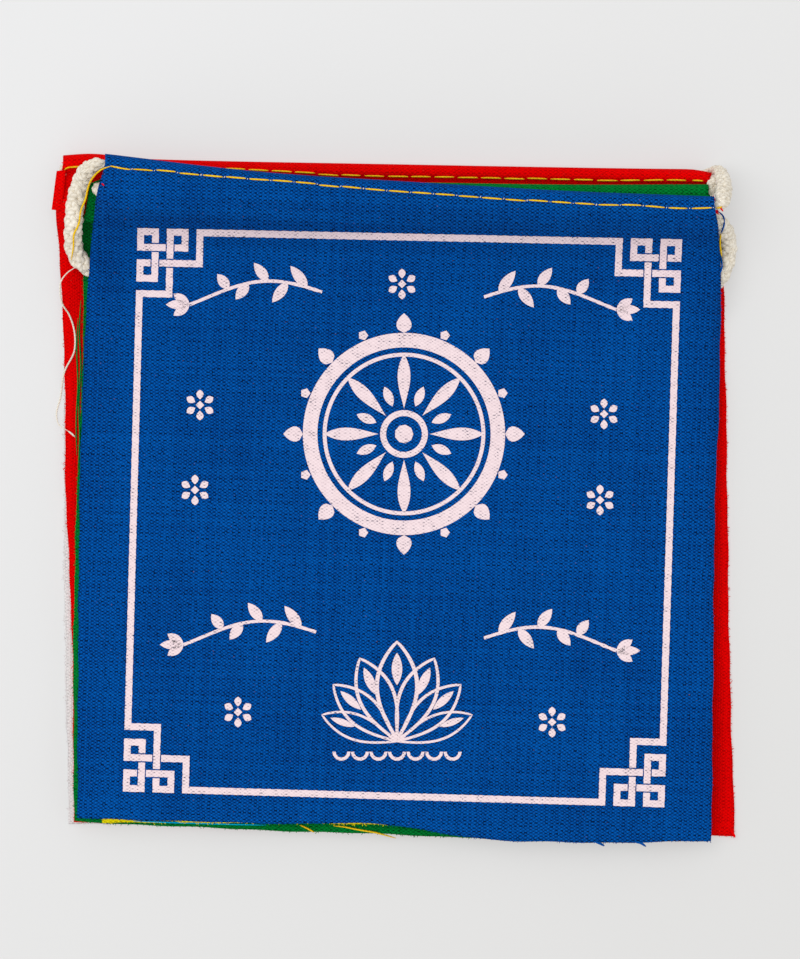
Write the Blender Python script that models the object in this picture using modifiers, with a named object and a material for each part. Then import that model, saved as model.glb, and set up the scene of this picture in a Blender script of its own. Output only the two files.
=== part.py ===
"""A string of five cloth flags, folded together into a pile that lies on a table.

Each flag is one sheet whose top edge is turned under round the string and lies on the flags below it.
The string is one cord: it runs through the five hems and turns back at their ends.
Sizes are in millimetres, and MM turns them into Blender's metres.
+X runs along the hems to the right, +Y from the flags' feet to their hems, and +Z up from the table.
"""

import math
from collections import namedtuple

import bmesh
import bpy
import numpy as np

MM = 0.001

# Cloth and string
CLOTH = 1.0
AIR = 0.45
LOOP_RADIUS = 2.2
SQUEEZED_RADIUS = 1.0
CORD_CLEARANCE = 0.6
HEM_BEND = SQUEEZED_RADIUS + CORD_CLEARANCE + CLOTH / 2
TURNED_BEND = 2.5
STRING_BEND = 25.0
STRING_COLOUR = (0.78, 0.72, 0.61)
CORD_FACETS = 2

# The height map of the pile, which gives the middle of the topmost cloth or the table half a cloth down
CELL = 0.5
MAP_HALF = 96.0
REACH = 15.0
FLOOR = -AIR - CLOTH / 2
CLOTH_PITCH = CLOTH + AIR
HEM_DOWN = HEM_BEND + CLOTH / 2

# Rows and columns of a flag's sheet, and how closely they are sampled
LEFT_COLUMNS = (0.0, 0.015, 0.035, 0.06, 0.1, 0.16, 0.24, 0.33, 0.42)
COLUMN_AT = LEFT_COLUMNS + (0.5,) + tuple(1 - share for share in reversed(LEFT_COLUMNS))
STRING_STEP = 2
UNDER_ROWS = 5
FOLD_ROWS = 6
NEAR_ROWS = 12
NEAR_REACH = 26.0
FAR_ROWS = 6
SAMPLES = 30
LINE_SAMPLES = 300
LINE_REACH = 0.02

# Shares of the way across and down a flag at which the table gives its edges
FOLD_AT = (0.0, 0.25, 0.5, 0.75, 1.0)
FOOT_AT = (0.0, 0.26, 0.55, 0.61, 0.75, 1.0)
SIDE_AT = (0.0, 0.02, 0.05, 0.15, 0.3, 0.5, 0.7, 1.0)

Flag = namedtuple("Flag", "name colour fold foot left right turned inset bend wave")

# From the table up: the y of the fold and of the foot, and the x of both sides, at the shares above.
# turned is how deep the hem goes, inset how much narrower it is at both ends, bend the face's tightest
# radius where it sinks between two ridges, and wave the ripples' height.
FLAGS = (
    Flag(
        "flag_white",
        (0.82, 0.79, 0.79),
        fold=(71.2, 70.4, 70.0, 69.6, 69.4),
        foot=(-76.6, -76.6, -77.0, -77.0, -77.4, -77.9),
        left=(-77.0, -77.2, -77.6, -77.8, -77.9, -77.9, -77.7, -76.7),
        right=(66.0, 66.4, 66.8, 67.0, 67.2, 67.5, 67.6, 67.5),
        turned=6.0,
        inset=0.0,
        bend=2.5,
        wave=0.0,
    ),
    Flag(
        "flag_red",
        (0.60, 0.004, 0.006),
        fold=(80.2, 79.2, 78.5, 77.8, 77.2),
        foot=(-76.2, -77.0, -77.7, -77.9, -78.4, -79.5),
        left=(-77.5, -78.2, -79.2, -78.9, -77.8, -77.5, -76.1, -75.6),
        right=(72.6, 72.8, 75.0, 76.6, 77.3, 77.8, 78.2, 79.5),
        turned=6.2,
        inset=2.2,
        bend=2.5,
        wave=0.0,
    ),
    Flag(
        "flag_green",
        (0.004, 0.13, 0.03),
        fold=(74.2, 74.1, 74.1, 73.6, 73.6),
        foot=(-76.0, -77.8, -79.3, -79.7, -79.8, -79.8),
        left=(-67.3, -67.6, -72.6, -73.2, -73.6, -74.8, -75.4, -75.2),
        right=(71.6, 71.8, 73.6, 74.0, 73.8, 73.4, 73.0, 72.6),
        turned=6.2,
        inset=0.0,
        bend=2.5,
        wave=0.0,
    ),
    Flag(
        "flag_yellow",
        (0.72, 0.55, 0.01),
        fold=(73.4, 71.2, 69.9, 68.7, 68.0),
        foot=(-76.3, -76.2, -76.8, -76.9, -77.3, -78.0),
        left=(-67.0, -67.1, -67.3, -67.7, -68.1, -68.6, -68.7, -68.9),
        right=(72.8, 72.9, 73.0, 73.2, 73.2, 72.9, 72.5, 72.0),
        turned=6.2,
        inset=0.0,
        bend=2.5,
        wave=0.0,
    ),
    Flag(
        "flag_blue",
        (0.002, 0.055, 0.24),
        fold=(80.7, 76.5, 74.1, 72.0, 70.6),
        foot=(-75.1, -76.3, -77.8, -79.6, -80.7, -80.6),
        left=(-68.3, -69.0, -70.2, -71.9, -73.2, -74.2, -74.4, -75.0),
        right=(74.1, 74.5, 75.3, 76.0, 75.7, 74.6, 74.3, 73.8),
        turned=6.4,
        inset=0.0,
        bend=5.0,
        wave=0.3,
    ),
)

# How the string goes on outside the hems: x, y, its radius and its height. A height from 0 to 1 is a
# share of the way from the lower hem to the upper one, and RESTS is where it lies on what is below it.
RESTS = -1.0
Stop = namedtuple("Stop", "x y radius height")
WHITE_TO_RED = (
    Stop(-78.8, 69.6, 1.0, 0.0),
    Stop(-79.8, 71.4, 1.0, 0.1),
    Stop(-80.1, 73.8, 1.0, 0.5),
    Stop(-79.9, 76.0, 1.0, 0.9),
    Stop(-79.1, 77.4, 1.0, 1.0),
)
RED_TO_GREEN = (
    Stop(73.8, 74.6, 1.0, 0.05),
    Stop(74.5, 73.3, 1.0, 0.5),
    Stop(73.6, 71.8, 1.0, 0.95),
)
GREEN_TO_YELLOW = (
    Stop(-69.3, 71.85, 1.0, 0.1),
    Stop(-70.1, 71.6, 1.0, 0.5),
    Stop(-69.3, 71.3, 1.0, 0.9),
)
WHITE_UNDER_RED = (
    Stop(68.1, 67.7, 1.0, 0.3),
    Stop(69.8, 70.0, 1.0, 0.8),
    Stop(70.7, 73.0, 1.0, RESTS),
    Stop(71.8, 75.6, 1.0, RESTS),
    Stop(73.9, 76.6, 1.0, RESTS),
)
ROUND_TO_BLUE = (
    Stop(75.6, 76.6, 1.4, 0.15),
    Stop(77.3, 75.2, 1.7, 0.36),
    Stop(77.8, 72.8, 1.8, 0.6),
    Stop(77.3, 70.4, 1.8, 0.84),
    Stop(75.9, 68.6, 1.5, 1.0),
)
YELLOW_TO_END = (
    Stop(74.8, 65.0, 1.5, 0.15),
    Stop(76.5, 63.0, 2.2, 0.5),
    Stop(77.5, 61.0, 2.2, 0.85),
    Stop(77.8, 58.6, 2.2, RESTS),
    Stop(77.5, 56.0, 2.2, RESTS),
    Stop(76.6, 53.2, 2.2, RESTS),
    Stop(75.0, 50.8, 2.2, RESTS),
    Stop(72.4, 49.4, 1.9, RESTS),
    Stop(69.6, 49.4, 1.4, RESTS),
)
END_TO_BLUE = (
    Stop(-68.8, 53.2, 1.4, RESTS),
    Stop(-71.0, 53.4, 1.9, RESTS),
    Stop(-73.4, 54.9, 2.2, RESTS),
    Stop(-75.2, 57.2, 2.2, RESTS),
    Stop(-76.0, 60.4, 2.2, RESTS),
    Stop(-75.9, 64.2, 2.2, RESTS),
    Stop(-75.0, 69.4, 2.2, RESTS),
    Stop(-73.8, 73.8, 2.2, RESTS),
    Stop(-72.0, 76.8, 2.0, 0.6),
    Stop(-70.0, 78.0, 1.5, 1.0),
)


def smooth(share, shares, values):
    """A smooth curve through a table's values, read at a share."""
    shares, values = np.array(shares), np.array(values)
    slopes = np.gradient(values, shares)
    share = np.asarray(share, float)
    k = np.clip(np.searchsorted(shares, share, side="right") - 1, 0, len(shares) - 2)
    width = shares[k + 1] - shares[k]
    t = (share - shares[k]) / width
    ends = values[k] * (1 + 2 * t) * (1 - t) ** 2 + values[k + 1] * t * t * (3 - 2 * t)
    return ends + width * t * (1 - t) * (slopes[k] * (1 - t) - slopes[k + 1] * t)


def drop(flag, across):
    """How far it is from fold to foot at a share of the way across."""
    return smooth(across, FOLD_AT, flag.fold) - smooth(across, FOOT_AT, flag.foot)


def place(flag, across, down):
    """The x and y of a point of a flag, a share of the way across and so far down from its fold."""
    share = down / drop(flag, across)
    left = smooth(share, SIDE_AT, flag.left)
    right = smooth(share, SIDE_AT, flag.right)
    x = left + (right - left) * across
    return x, smooth(across, FOLD_AT, flag.fold) - down


def empty_map(value=-np.inf):
    side = round(2 * MAP_HALF / CELL) + 1
    return np.full((side, side), value)


def stamped(points):
    """A height map of points, the highest in each cell."""
    heights = empty_map()
    i, j = (np.rint((points[..., k] + MAP_HALF) / CELL).astype(int).ravel() for k in (0, 1))
    np.maximum.at(heights, (i, j), points[..., 2].ravel())
    return heights


def read(heights, x, y):
    """The height at a place, between the four cells around it."""
    cx, cy = (x + MAP_HALF) / CELL, (y + MAP_HALF) / CELL
    i, j = np.floor(cx).astype(int), np.floor(cy).astype(int)
    fx, fy = cx - i, cy - j
    near = heights[i, j] * (1 - fx) + heights[i + 1, j] * fx
    far = heights[i, j + 1] * (1 - fx) + heights[i + 1, j + 1] * fx
    return near * (1 - fy) + far * fy


def raised(heights, radius):
    """The surface that a ball of this radius, rolled over a height map, keeps its centre on."""
    reach = int(radius / CELL)
    out = np.full_like(heights, -np.inf)
    for i in range(-reach, reach + 1):
        for j in range(-reach, reach + 1):
            left = radius**2 - (i * i + j * j) * CELL**2
            if left >= 0:
                np.maximum(out, np.roll(heights, (i, j), (0, 1)) + math.sqrt(left), out=out)
    return out


def domed(heights, radius):
    """A height map with a dome of this top radius on each cell, one way across and then the other."""
    for axis in (0, 1):
        out = heights.copy()
        for k in range(1, int(REACH / CELL) + 1):
            sink = (k * CELL) ** 2 / (2 * radius)
            for way in (-k, k):
                np.maximum(out, np.roll(heights, way, axis) - sink, out=out)
        heights = out
    return heights


def bridged(heights, radius):
    """A height map whose hollows are filled up to this bending radius."""
    return -domed(-domed(heights, radius), radius)


def bridged_line(heights, places, radius):
    """Heights along a line, with its hollows filled the same way."""
    sink = (places[:, None] - places[None, :]) ** 2 / (2 * radius)
    domes = (heights[None, :] - sink).max(axis=1)
    return (domes[None, :] + sink).min(axis=1)


def finer(grid):
    """A grid of points with straight lines between them, sampled more closely."""
    at = [np.linspace(0, n - 1, (n - 1) * SAMPLES + 1) for n in grid.shape[:2]]
    low = [np.minimum(a.astype(int), n - 2) for a, n in zip(at, grid.shape[:2])]
    part_i, part_j = (at[0] - low[0])[:, None, None], (at[1] - low[1])[None, :, None]
    rows = grid[low[0]] * (1 - part_i) + grid[low[0] + 1] * part_i
    return rows[:, low[1]] * (1 - part_j) + rows[:, low[1] + 1] * part_j


def lifted_clear(grid, needed):
    """A grid of points raised just so far that the straight faces between them clear a height map."""
    close = finer(grid)
    short = np.maximum(read(needed, close[..., 0], close[..., 1]) - close[..., 2], 0.0)
    rows, columns = grid.shape[0] - 1, grid.shape[1] - 1
    lift = np.zeros(grid.shape[:2])
    for i in range(rows):
        for j in range(columns):
            block = short[i * SAMPLES : (i + 1) * SAMPLES + 1, j * SAMPLES : (j + 1) * SAMPLES + 1]
            lift[i : i + 2, j : j + 2] = np.maximum(lift[i : i + 2, j : j + 2], block.max())
    out = grid.copy()
    out[..., 2] += lift
    return out


def cord_line(points):
    """Points close together on the straight lines through a cord's points, each x, y, z and radius."""
    steps = np.linspace(0, len(points) - 1, (len(points) - 1) * SAMPLES + 1)
    return np.stack([np.interp(steps, np.arange(len(points)), points[:, k]) for k in range(4)], axis=1)


def over_cord(points, gap):
    """How high the middle of a cloth has to be to clear a cord by this gap."""
    heights = empty_map()
    line = cord_line(points)
    for radius in np.unique(np.round(line[:, 3], 1)):
        part = line[np.round(line[:, 3], 1) == radius]
        np.maximum(heights, raised(stamped(part[:, :3]), radius + CLOTH / 2 + gap), out=heights)
    return heights


def ripple(flag, x, y):
    """Low waves that run mostly along the hems and fade towards the foot."""
    along = np.sin(y / 6.4 + x / 55.0 + 1.3) * np.exp(-(((y - 50.0) / 26.0) ** 2))
    across = 0.5 * np.sin(x / 17.0 - y / 31.0 + 2.1)
    return flag.wave * (along + across + 1.5)


def laid_sheet(flag, pile, cords):
    """The grid of a flag's sheet laid on the pile and over cords, and the line of the string in its hem."""
    columns = np.array(COLUMN_AT)
    needed = np.maximum(raised(pile, CLOTH_PITCH), cords)
    bed = bridged(needed, TURNED_BEND)
    x, y = place(flag, columns, HEM_DOWN)
    close = np.linspace(0, 1, LINE_SAMPLES)
    close_x, close_y = place(flag, close, HEM_DOWN)
    window = np.abs(close[None, :] - columns[:, None]) < LINE_REACH

    def seat_on(cloth):
        seat = bridged_line(read(raised(cloth, HEM_BEND), close_x, close_y), close_x, STRING_BEND)
        return np.where(window, seat[None, :], -np.inf).max(axis=1)

    string_z = seat_on(bed)
    downs = HEM_DOWN + (flag.turned - HEM_DOWN) * np.linspace(1, 0, UNDER_ROWS + 1) ** 2
    under_x, under_y = place(flag, columns[:, None], downs[None, :])
    inset = flag.inset * (1 - 2 * columns[:, None]) ** 9 * (1 - (downs[None, :] == downs[-1]))
    fade = (flag.turned - downs) / (flag.turned - downs[-1])
    lift = string_z - HEM_BEND - read(bed, x, y)
    under_z = read(bed, under_x, under_y) + lift[:, None] * (fade * fade * (3 - 2 * fade))[None, :]
    under = lifted_clear(np.stack([under_x + inset, under_y, under_z], axis=2), needed)
    bottom_z = under[:, -1, 2]
    string = np.stack([x, y, np.maximum(bottom_z + HEM_BEND, seat_on(stamped(finer(under))))], axis=1)

    tube = raised(stamped(finer(np.stack([string, string], axis=1))), HEM_BEND)
    clear = np.maximum.reduce([needed, raised(stamped(finer(under)), CLOTH_PITCH), tube])
    cover = bridged(clear, flag.bend)
    near = np.linspace(HEM_DOWN, NEAR_REACH, NEAR_ROWS + 1)
    far = np.linspace(0, 1, FAR_ROWS + 1)[1:]
    near_down = np.repeat(near[None, :], len(columns), axis=0)
    far_down = NEAR_REACH + (drop(flag, columns)[:, None] - NEAR_REACH) * far[None, :]
    down = np.concatenate([near_down, far_down], axis=1)
    face_x, face_y = place(flag, columns[:, None], down)
    face_z = read(cover, face_x, face_y) + ripple(flag, face_x, face_y)
    face = lifted_clear(np.stack([face_x, face_y, face_z], axis=2), clear)

    angles = np.linspace(-math.pi / 2, math.pi / 2, FOLD_ROWS + 1)[1:-1]
    half = (face[:, 0, 2] - bottom_z)[:, None] / 2
    fold = np.stack(
        [
            np.repeat(x[:, None], len(angles), axis=1),
            y[:, None] + HEM_BEND * np.cos(angles)[None, :],
            bottom_z[:, None] + half + half * np.sin(angles)[None, :],
        ],
        axis=2,
    )
    return np.concatenate([under, fold, face], axis=1), string


def in_hem(string):
    """The cord's points in a hem, at both ends and every second column of its flag."""
    chosen = np.concatenate([string[:1], string[1:-1:STRING_STEP], string[-1:]])
    return np.column_stack([chosen, np.full(len(chosen), SQUEEZED_RADIUS)])


def resting(stops, pile, start):
    """The points of a loop that lies on the pile, and comes down to it from a start height."""
    route = np.array([[s.x, s.y, 0.0, s.radius] for s in stops])
    first = [s.height for s in stops].index(RESTS)
    line = cord_line(route[first:])
    seat = [
        read(raised(pile, radius + AIR + CLOTH / 2), line[:, 0], line[:, 1])
        for radius in (SQUEEZED_RADIUS, LOOP_RADIUS)
    ]
    share = (line[:, 3] - SQUEEZED_RADIUS) / (LOOP_RADIUS - SQUEEZED_RADIUS)
    places = np.concatenate([[0.0], np.cumsum(np.hypot(*np.diff(line[:, :2], axis=0).T))])
    heights = seat[0] + (seat[1] - seat[0]) * share
    route[first:, 2] = bridged_line(heights, places, STRING_BEND)[::SAMPLES]
    for k in range(first):
        route[k, 2] = start + (route[first, 2] - start) * stops[k].height
    return route


def between(stops, low, high):
    """The points of a loop whose heights are shares of the way between two ends."""
    return np.array([[s.x, s.y, low + (high - low) * s.height, s.radius] for s in stops])


def material(name, colour):
    made = bpy.data.materials.new(name)
    made.use_nodes = True
    shader = made.node_tree.nodes["Principled BSDF"]
    shader.inputs["Base Color"].default_value = (*colour, 1.0)
    shader.inputs["Roughness"].default_value = 0.9
    return made


def add(collection, name, data, colour):
    made = bpy.data.objects.new(name, data)
    made.data.materials.append(material(name, colour))
    collection.objects.link(made)
    return made


def flag_object(collection, flag, points):
    """A grid bent into the flag's sheet, with its thickness from a Solidify modifier."""
    columns, rows = points.shape[:2]
    sheet = bmesh.new()
    bmesh.ops.create_grid(sheet, x_segments=columns - 1, y_segments=rows - 1, size=0.5)
    for corner in sheet.verts:
        column = round((corner.co.x + 0.5) * (columns - 1))
        row = round((corner.co.y + 0.5) * (rows - 1))
        corner.co = points[column, row] * MM
    bmesh.ops.recalc_face_normals(sheet, faces=sheet.faces)
    mesh = bpy.data.meshes.new(flag.name)
    sheet.to_mesh(mesh)
    sheet.free()
    mesh.shade_smooth()
    made = add(collection, flag.name, mesh, flag.colour)
    thick = made.modifiers.new("thickness", "SOLIDIFY")
    thick.thickness = CLOTH * MM
    thick.offset = 0.0
    thick.use_even_offset = True
    return made


def cord_object(collection, name, points):
    """A tube along a cord's points, as thick at each as its radius says."""
    curve = bpy.data.curves.new(name, "CURVE")
    curve.dimensions = "3D"
    curve.bevel_depth = MM
    curve.bevel_resolution = CORD_FACETS
    curve.use_fill_caps = True
    spline = curve.splines.new("POLY")
    spline.points.add(len(points) - 1)
    for point, (x, y, z, radius) in zip(spline.points, points):
        point.co = (x * MM, y * MM, z * MM, 1.0)
        point.radius = radius
    return add(collection, name, curve, STRING_COLOUR)


def main():
    for old in list(bpy.data.objects):
        bpy.data.objects.remove(old, do_unlink=True)
    parts = bpy.data.collections.new("flag_string")
    bpy.context.scene.collection.children.link(parts)

    pile = empty_map(FLOOR)
    nothing = empty_map()
    sheets, strings = {}, {}

    def lay(flag, cords):
        sheets[flag.name], strings[flag.name] = laid_sheet(flag, pile, cords)
        return np.maximum(pile, stamped(finer(sheets[flag.name])))

    white, red, green, yellow, blue = FLAGS
    pile = lay(white, nothing)
    white_end = strings["flag_white"][-1, 2]
    under_red = resting(WHITE_UNDER_RED, pile, white_end)
    lower = between(WHITE_TO_RED, strings["flag_white"][0, 2], strings["flag_white"][0, 2])
    pile = lay(red, np.maximum(over_cord(under_red, AIR), over_cord(lower[:3], AIR)))

    turn_left = between(WHITE_TO_RED, strings["flag_white"][0, 2], strings["flag_red"][0, 2])
    pile = lay(green, nothing)
    turn_right = between(RED_TO_GREEN, strings["flag_red"][-1, 2], strings["flag_green"][-1, 2])
    pile = lay(yellow, nothing)
    turn_back = between(GREEN_TO_YELLOW, strings["flag_green"][0, 2], strings["flag_yellow"][0, 2])
    yellow_end = resting(YELLOW_TO_END, pile, strings["flag_yellow"][-1, 2])
    blue_end = resting(END_TO_BLUE, pile, None)
    cords = np.maximum.reduce([over_cord(c, AIR) for c in (yellow_end, blue_end[:3], turn_right, turn_back)])
    pile = lay(blue, cords)
    round_to_blue = between(ROUND_TO_BLUE, under_red[-1, 2], strings["flag_blue"][-1, 2])
    rise = np.array([max(s.height, 0.0) for s in END_TO_BLUE])
    blue_end[:, 2] += rise * (strings["flag_blue"][0, 2] - blue_end[-1, 2])

    route = np.concatenate(
        [
            blue_end,
            in_hem(strings["flag_blue"]),
            round_to_blue[::-1],
            under_red[::-1],
            in_hem(strings["flag_white"])[::-1],
            turn_left,
            in_hem(strings["flag_red"]),
            turn_right,
            in_hem(strings["flag_green"])[::-1],
            turn_back,
            in_hem(strings["flag_yellow"]),
            yellow_end,
        ]
    )
    for flag in FLAGS:
        flag_object(parts, flag, sheets[flag.name])
    cord_object(parts, "string", route)


main()
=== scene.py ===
"""The looks of a string of five cloth flags, folded into a pile on a pale table and seen from straight above.

It lays the sheets and the string as the solids lie, with thin woven cloth, a braided cord, sewn hems,
a printed design, frayed edges and loose threads. Sizes are in millimetres, and MM turns them into metres.
A place read from the photograph is a pair of its pixels, which PIXEL and the ORIGIN values turn into
millimetres.
"""

import math
from collections import namedtuple

import bpy
import numpy as np
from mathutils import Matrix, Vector
from mathutils.bvhtree import BVHTree


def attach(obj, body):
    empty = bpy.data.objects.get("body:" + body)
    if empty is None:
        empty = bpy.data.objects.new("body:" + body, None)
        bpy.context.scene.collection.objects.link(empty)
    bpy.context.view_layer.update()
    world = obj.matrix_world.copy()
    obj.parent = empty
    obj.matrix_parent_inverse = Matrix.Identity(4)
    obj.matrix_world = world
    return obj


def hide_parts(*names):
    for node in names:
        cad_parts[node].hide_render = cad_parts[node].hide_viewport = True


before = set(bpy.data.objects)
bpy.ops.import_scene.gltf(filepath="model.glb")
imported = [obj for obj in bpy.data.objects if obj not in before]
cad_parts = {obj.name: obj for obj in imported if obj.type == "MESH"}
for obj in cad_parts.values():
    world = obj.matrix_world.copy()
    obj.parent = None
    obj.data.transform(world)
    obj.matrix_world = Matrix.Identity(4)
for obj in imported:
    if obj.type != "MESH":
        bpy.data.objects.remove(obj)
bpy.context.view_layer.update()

MM = 0.001

# Cloth and string
CLOTH = 1.0
AIR = 0.45
LOOP_RADIUS = 2.2
SQUEEZED_RADIUS = 1.0
CORD_CLEARANCE = 0.6
HEM_BEND = SQUEEZED_RADIUS + CORD_CLEARANCE + CLOTH / 2
TURNED_BEND = 2.5
STRING_BEND = 25.0

# The height map of the pile, which gives the middle of the topmost cloth or the table half a cloth down
CELL = 0.5
MAP_HALF = 96.0
REACH = 15.0
FLOOR = -AIR - CLOTH / 2
CLOTH_PITCH = CLOTH + AIR
HEM_DOWN = HEM_BEND + CLOTH / 2

# Rows and columns of a flag's sheet, and how closely they are sampled
LEFT_COLUMNS = (0.0, 0.015, 0.035, 0.06, 0.1, 0.16, 0.24, 0.33, 0.42)
COLUMN_AT = LEFT_COLUMNS + (0.5,) + tuple(1 - share for share in reversed(LEFT_COLUMNS))
STRING_STEP = 2
UNDER_ROWS = 5
FOLD_ROWS = 6
NEAR_ROWS = 12
NEAR_REACH = 26.0
FAR_ROWS = 6
SAMPLES = 30
LINE_SAMPLES = 300
LINE_REACH = 0.02

# Shares of the way across and down a flag at which the table gives its edges
FOLD_AT = (0.0, 0.25, 0.5, 0.75, 1.0)
FOOT_AT = (0.0, 0.26, 0.55, 0.61, 0.75, 1.0)
SIDE_AT = (0.0, 0.02, 0.05, 0.15, 0.3, 0.5, 0.7, 1.0)

Flag = namedtuple("Flag", "name fold foot left right turned inset bend wave")

# From the table up: the y of the fold and of the foot, and the x of both sides, at the shares above.
# turned is how deep the hem goes, inset how much narrower it is at both ends, bend the face's tightest
# radius where it sinks between two ridges, and wave the ripples' height.
FLAGS = (
    Flag(
        "flag_white",
        fold=(71.2, 70.4, 70.0, 69.6, 69.4),
        foot=(-76.6, -76.6, -77.0, -77.0, -77.4, -77.9),
        left=(-77.0, -77.2, -77.6, -77.8, -77.9, -77.9, -77.7, -76.7),
        right=(66.0, 66.4, 66.8, 67.0, 67.2, 67.5, 67.6, 67.5),
        turned=6.0,
        inset=0.0,
        bend=2.5,
        wave=0.0,
    ),
    Flag(
        "flag_red",
        fold=(80.2, 79.2, 78.5, 77.8, 77.2),
        foot=(-76.2, -77.0, -77.7, -77.9, -78.4, -79.5),
        left=(-77.5, -78.2, -79.2, -78.9, -77.8, -77.5, -76.1, -75.6),
        right=(72.6, 72.8, 75.0, 76.6, 77.3, 77.8, 78.2, 79.5),
        turned=6.2,
        inset=2.2,
        bend=2.5,
        wave=0.0,
    ),
    Flag(
        "flag_green",
        fold=(74.2, 74.1, 74.1, 73.6, 73.6),
        foot=(-76.0, -77.8, -79.3, -79.7, -79.8, -79.8),
        left=(-67.3, -67.6, -72.6, -73.2, -73.6, -74.9, -75.6, -75.5),
        right=(70.6, 73.4, 74.0, 74.0, 73.8, 73.4, 73.0, 72.6),
        turned=6.2,
        inset=0.0,
        bend=2.5,
        wave=0.0,
    ),
    Flag(
        "flag_yellow",
        fold=(73.4, 71.2, 69.9, 68.7, 68.0),
        foot=(-76.3, -76.2, -76.8, -76.9, -77.3, -78.0),
        left=(-67.0, -67.1, -67.3, -67.7, -68.1, -68.6, -68.7, -68.9),
        right=(72.8, 72.9, 73.0, 73.2, 73.2, 72.9, 72.5, 72.0),
        turned=6.2,
        inset=0.0,
        bend=2.5,
        wave=0.0,
    ),
    Flag(
        "flag_blue",
        fold=(80.7, 76.5, 74.1, 72.0, 70.6),
        foot=(-75.1, -76.3, -77.8, -79.6, -80.7, -80.6),
        left=(-67.7, -68.2, -69.3, -71.5, -73.0, -74.1, -74.4, -74.7),
        right=(74.1, 74.5, 75.3, 76.0, 75.7, 74.6, 74.3, 73.8),
        turned=6.4,
        inset=0.0,
        bend=5.0,
        wave=0.3,
    ),
)

# How the string goes on outside the hems: x, y, its radius and its height. A height from 0 to 1 is a
# share of the way from the lower hem to the upper one, and RESTS is where it lies on what is below it.
RESTS = -1.0
Stop = namedtuple("Stop", "x y radius height")
WHITE_TO_RED = (
    Stop(-77.6, 69.6, 1.0, 0.0),
    Stop(-77.9, 71.4, 1.0, 0.1),
    Stop(-78.1, 73.4, 1.0, 0.5),
    Stop(-78.1, 75.2, 1.0, 0.9),
    Stop(-77.7, 76.5, 1.0, 1.0),
)
RED_TO_GREEN = (
    Stop(73.7, 74.6, 1.2, 0.05),
    Stop(74.3, 73.3, 1.5, 0.5),
    Stop(73.6, 71.8, 1.3, 0.95),
)
GREEN_TO_YELLOW = (
    Stop(-68.8, 72.4, 1.3, 0.1),
    Stop(-69.7, 72.1, 1.6, 0.5),
    Stop(-68.8, 71.8, 1.3, 0.9),
)
WHITE_UNDER_RED = (
    Stop(68.1, 67.7, 1.0, 0.3),
    Stop(69.8, 70.0, 1.0, 0.8),
    Stop(70.7, 73.0, 1.0, RESTS),
    Stop(71.8, 75.6, 1.0, RESTS),
    Stop(73.9, 76.6, 1.0, RESTS),
)
ROUND_TO_BLUE = (
    Stop(75.6, 76.6, 1.4, 0.15),
    Stop(76.3, 75.2, 1.8, 0.36),
    Stop(76.7, 72.8, 1.9, 0.6),
    Stop(76.4, 70.4, 1.9, 0.84),
    Stop(75.9, 68.6, 1.5, 1.0),
)
YELLOW_TO_END = (
    Stop(74.8, 65.0, 1.5, 0.15),
    Stop(76.5, 63.0, 2.2, 0.5),
    Stop(77.5, 61.0, 2.2, 0.85),
    Stop(77.8, 58.6, 2.2, RESTS),
    Stop(77.5, 56.0, 2.2, RESTS),
    Stop(76.6, 53.2, 2.2, RESTS),
    Stop(75.0, 50.8, 2.2, RESTS),
    Stop(72.4, 49.4, 1.9, RESTS),
    Stop(69.6, 49.4, 1.4, RESTS),
)
END_TO_BLUE = (
    Stop(-68.8, 53.2, 1.4, RESTS),
    Stop(-71.0, 53.4, 1.9, RESTS),
    Stop(-73.4, 54.9, 2.2, RESTS),
    Stop(-75.2, 57.2, 2.2, RESTS),
    Stop(-75.6, 60.4, 2.2, RESTS),
    Stop(-75.5, 64.2, 2.2, RESTS),
    Stop(-75.0, 69.4, 2.2, RESTS),
    Stop(-73.8, 73.8, 2.2, RESTS),
    Stop(-72.0, 76.8, 2.0, 0.6),
    Stop(-70.0, 78.0, 1.5, 1.0),
)

# The photograph's frame, and where the object's origin is in it
PIXEL = 0.234375
PHOTO_WIDTH, PHOTO_HEIGHT = 800, 959
ORIGIN_U, ORIGIN_V = 396.0, 497.5
CAMERA_AWAY = 4000.0
FACE_HEIGHT = 6.5

# Light, in metres and watts, and the floor, whose colour has painted light at the upper left and painted
# shade at the lower right
LAMP_AT = (-0.55, 0.35, 1.85)
LAMP_SIDE = 1.7
LAMP_WATTS = 16.5
ROOM_COLOUR = (1.0, 0.995, 0.985, 1.0)
ROOM_LIGHT = 0.83
FLOOR_HALF = 2.0
FLOOR_PAINTED_LIT = (0.310, 0.311, 0.313)
FLOOR_PAINTED_SHADE = (0.284, 0.283, 0.281)
# The floor glows in its own colours, painted light that lifts the shadows and tints on it
FLOOR_PAINTED_GLOW = 1.57
PAINTED_FALLOFF_HALF = 0.17

# Cloth: its thickness, its weave, and how close the rows and columns of its mesh are
THIN_CLOTH = 0.45
WIDE = 150.0
FINE_STEP = 0.78
COARSE_STEP = 1.6
HEM_ROWS = 16
CLOSE_REACH = 13.0
UV_SIDE = 220.0
WARP_PITCH = 0.60
WEFT_PITCH = 0.39
THREAD_SWAY = 1.6
EDGE_WANDER = 0.15
EDGE_CURL = 0.3
FOOT_REACH = 8.0
SLACK = 0.12
SLACK_REACH = 6.0
THREAD_DROOP = 0.45
LEAST_GAP = 0.1
LIFT_REACH = 3
RED_BULGE = 0.9
RED_BULGE_AT = -71.0
RED_BULGE_WIDTH = 7.0
RED_BULGE_DOWN = 5.0
RED_TROUGH_DOWN = 5.3
RED_TROUGH_DEPTH = 1.3
RED_TROUGH_WIDTH = 0.6
RED_END_REACH = 1.3
RED_END_DROP = 0.8
RED_END_SHARE = 0.03
RED_END_DOWN = 4.0
LEANS = {"flag_white": 0.4, "flag_red": -0.6, "flag_green": -1.0, "flag_yellow": -1.2, "flag_blue": -2.0}
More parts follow.
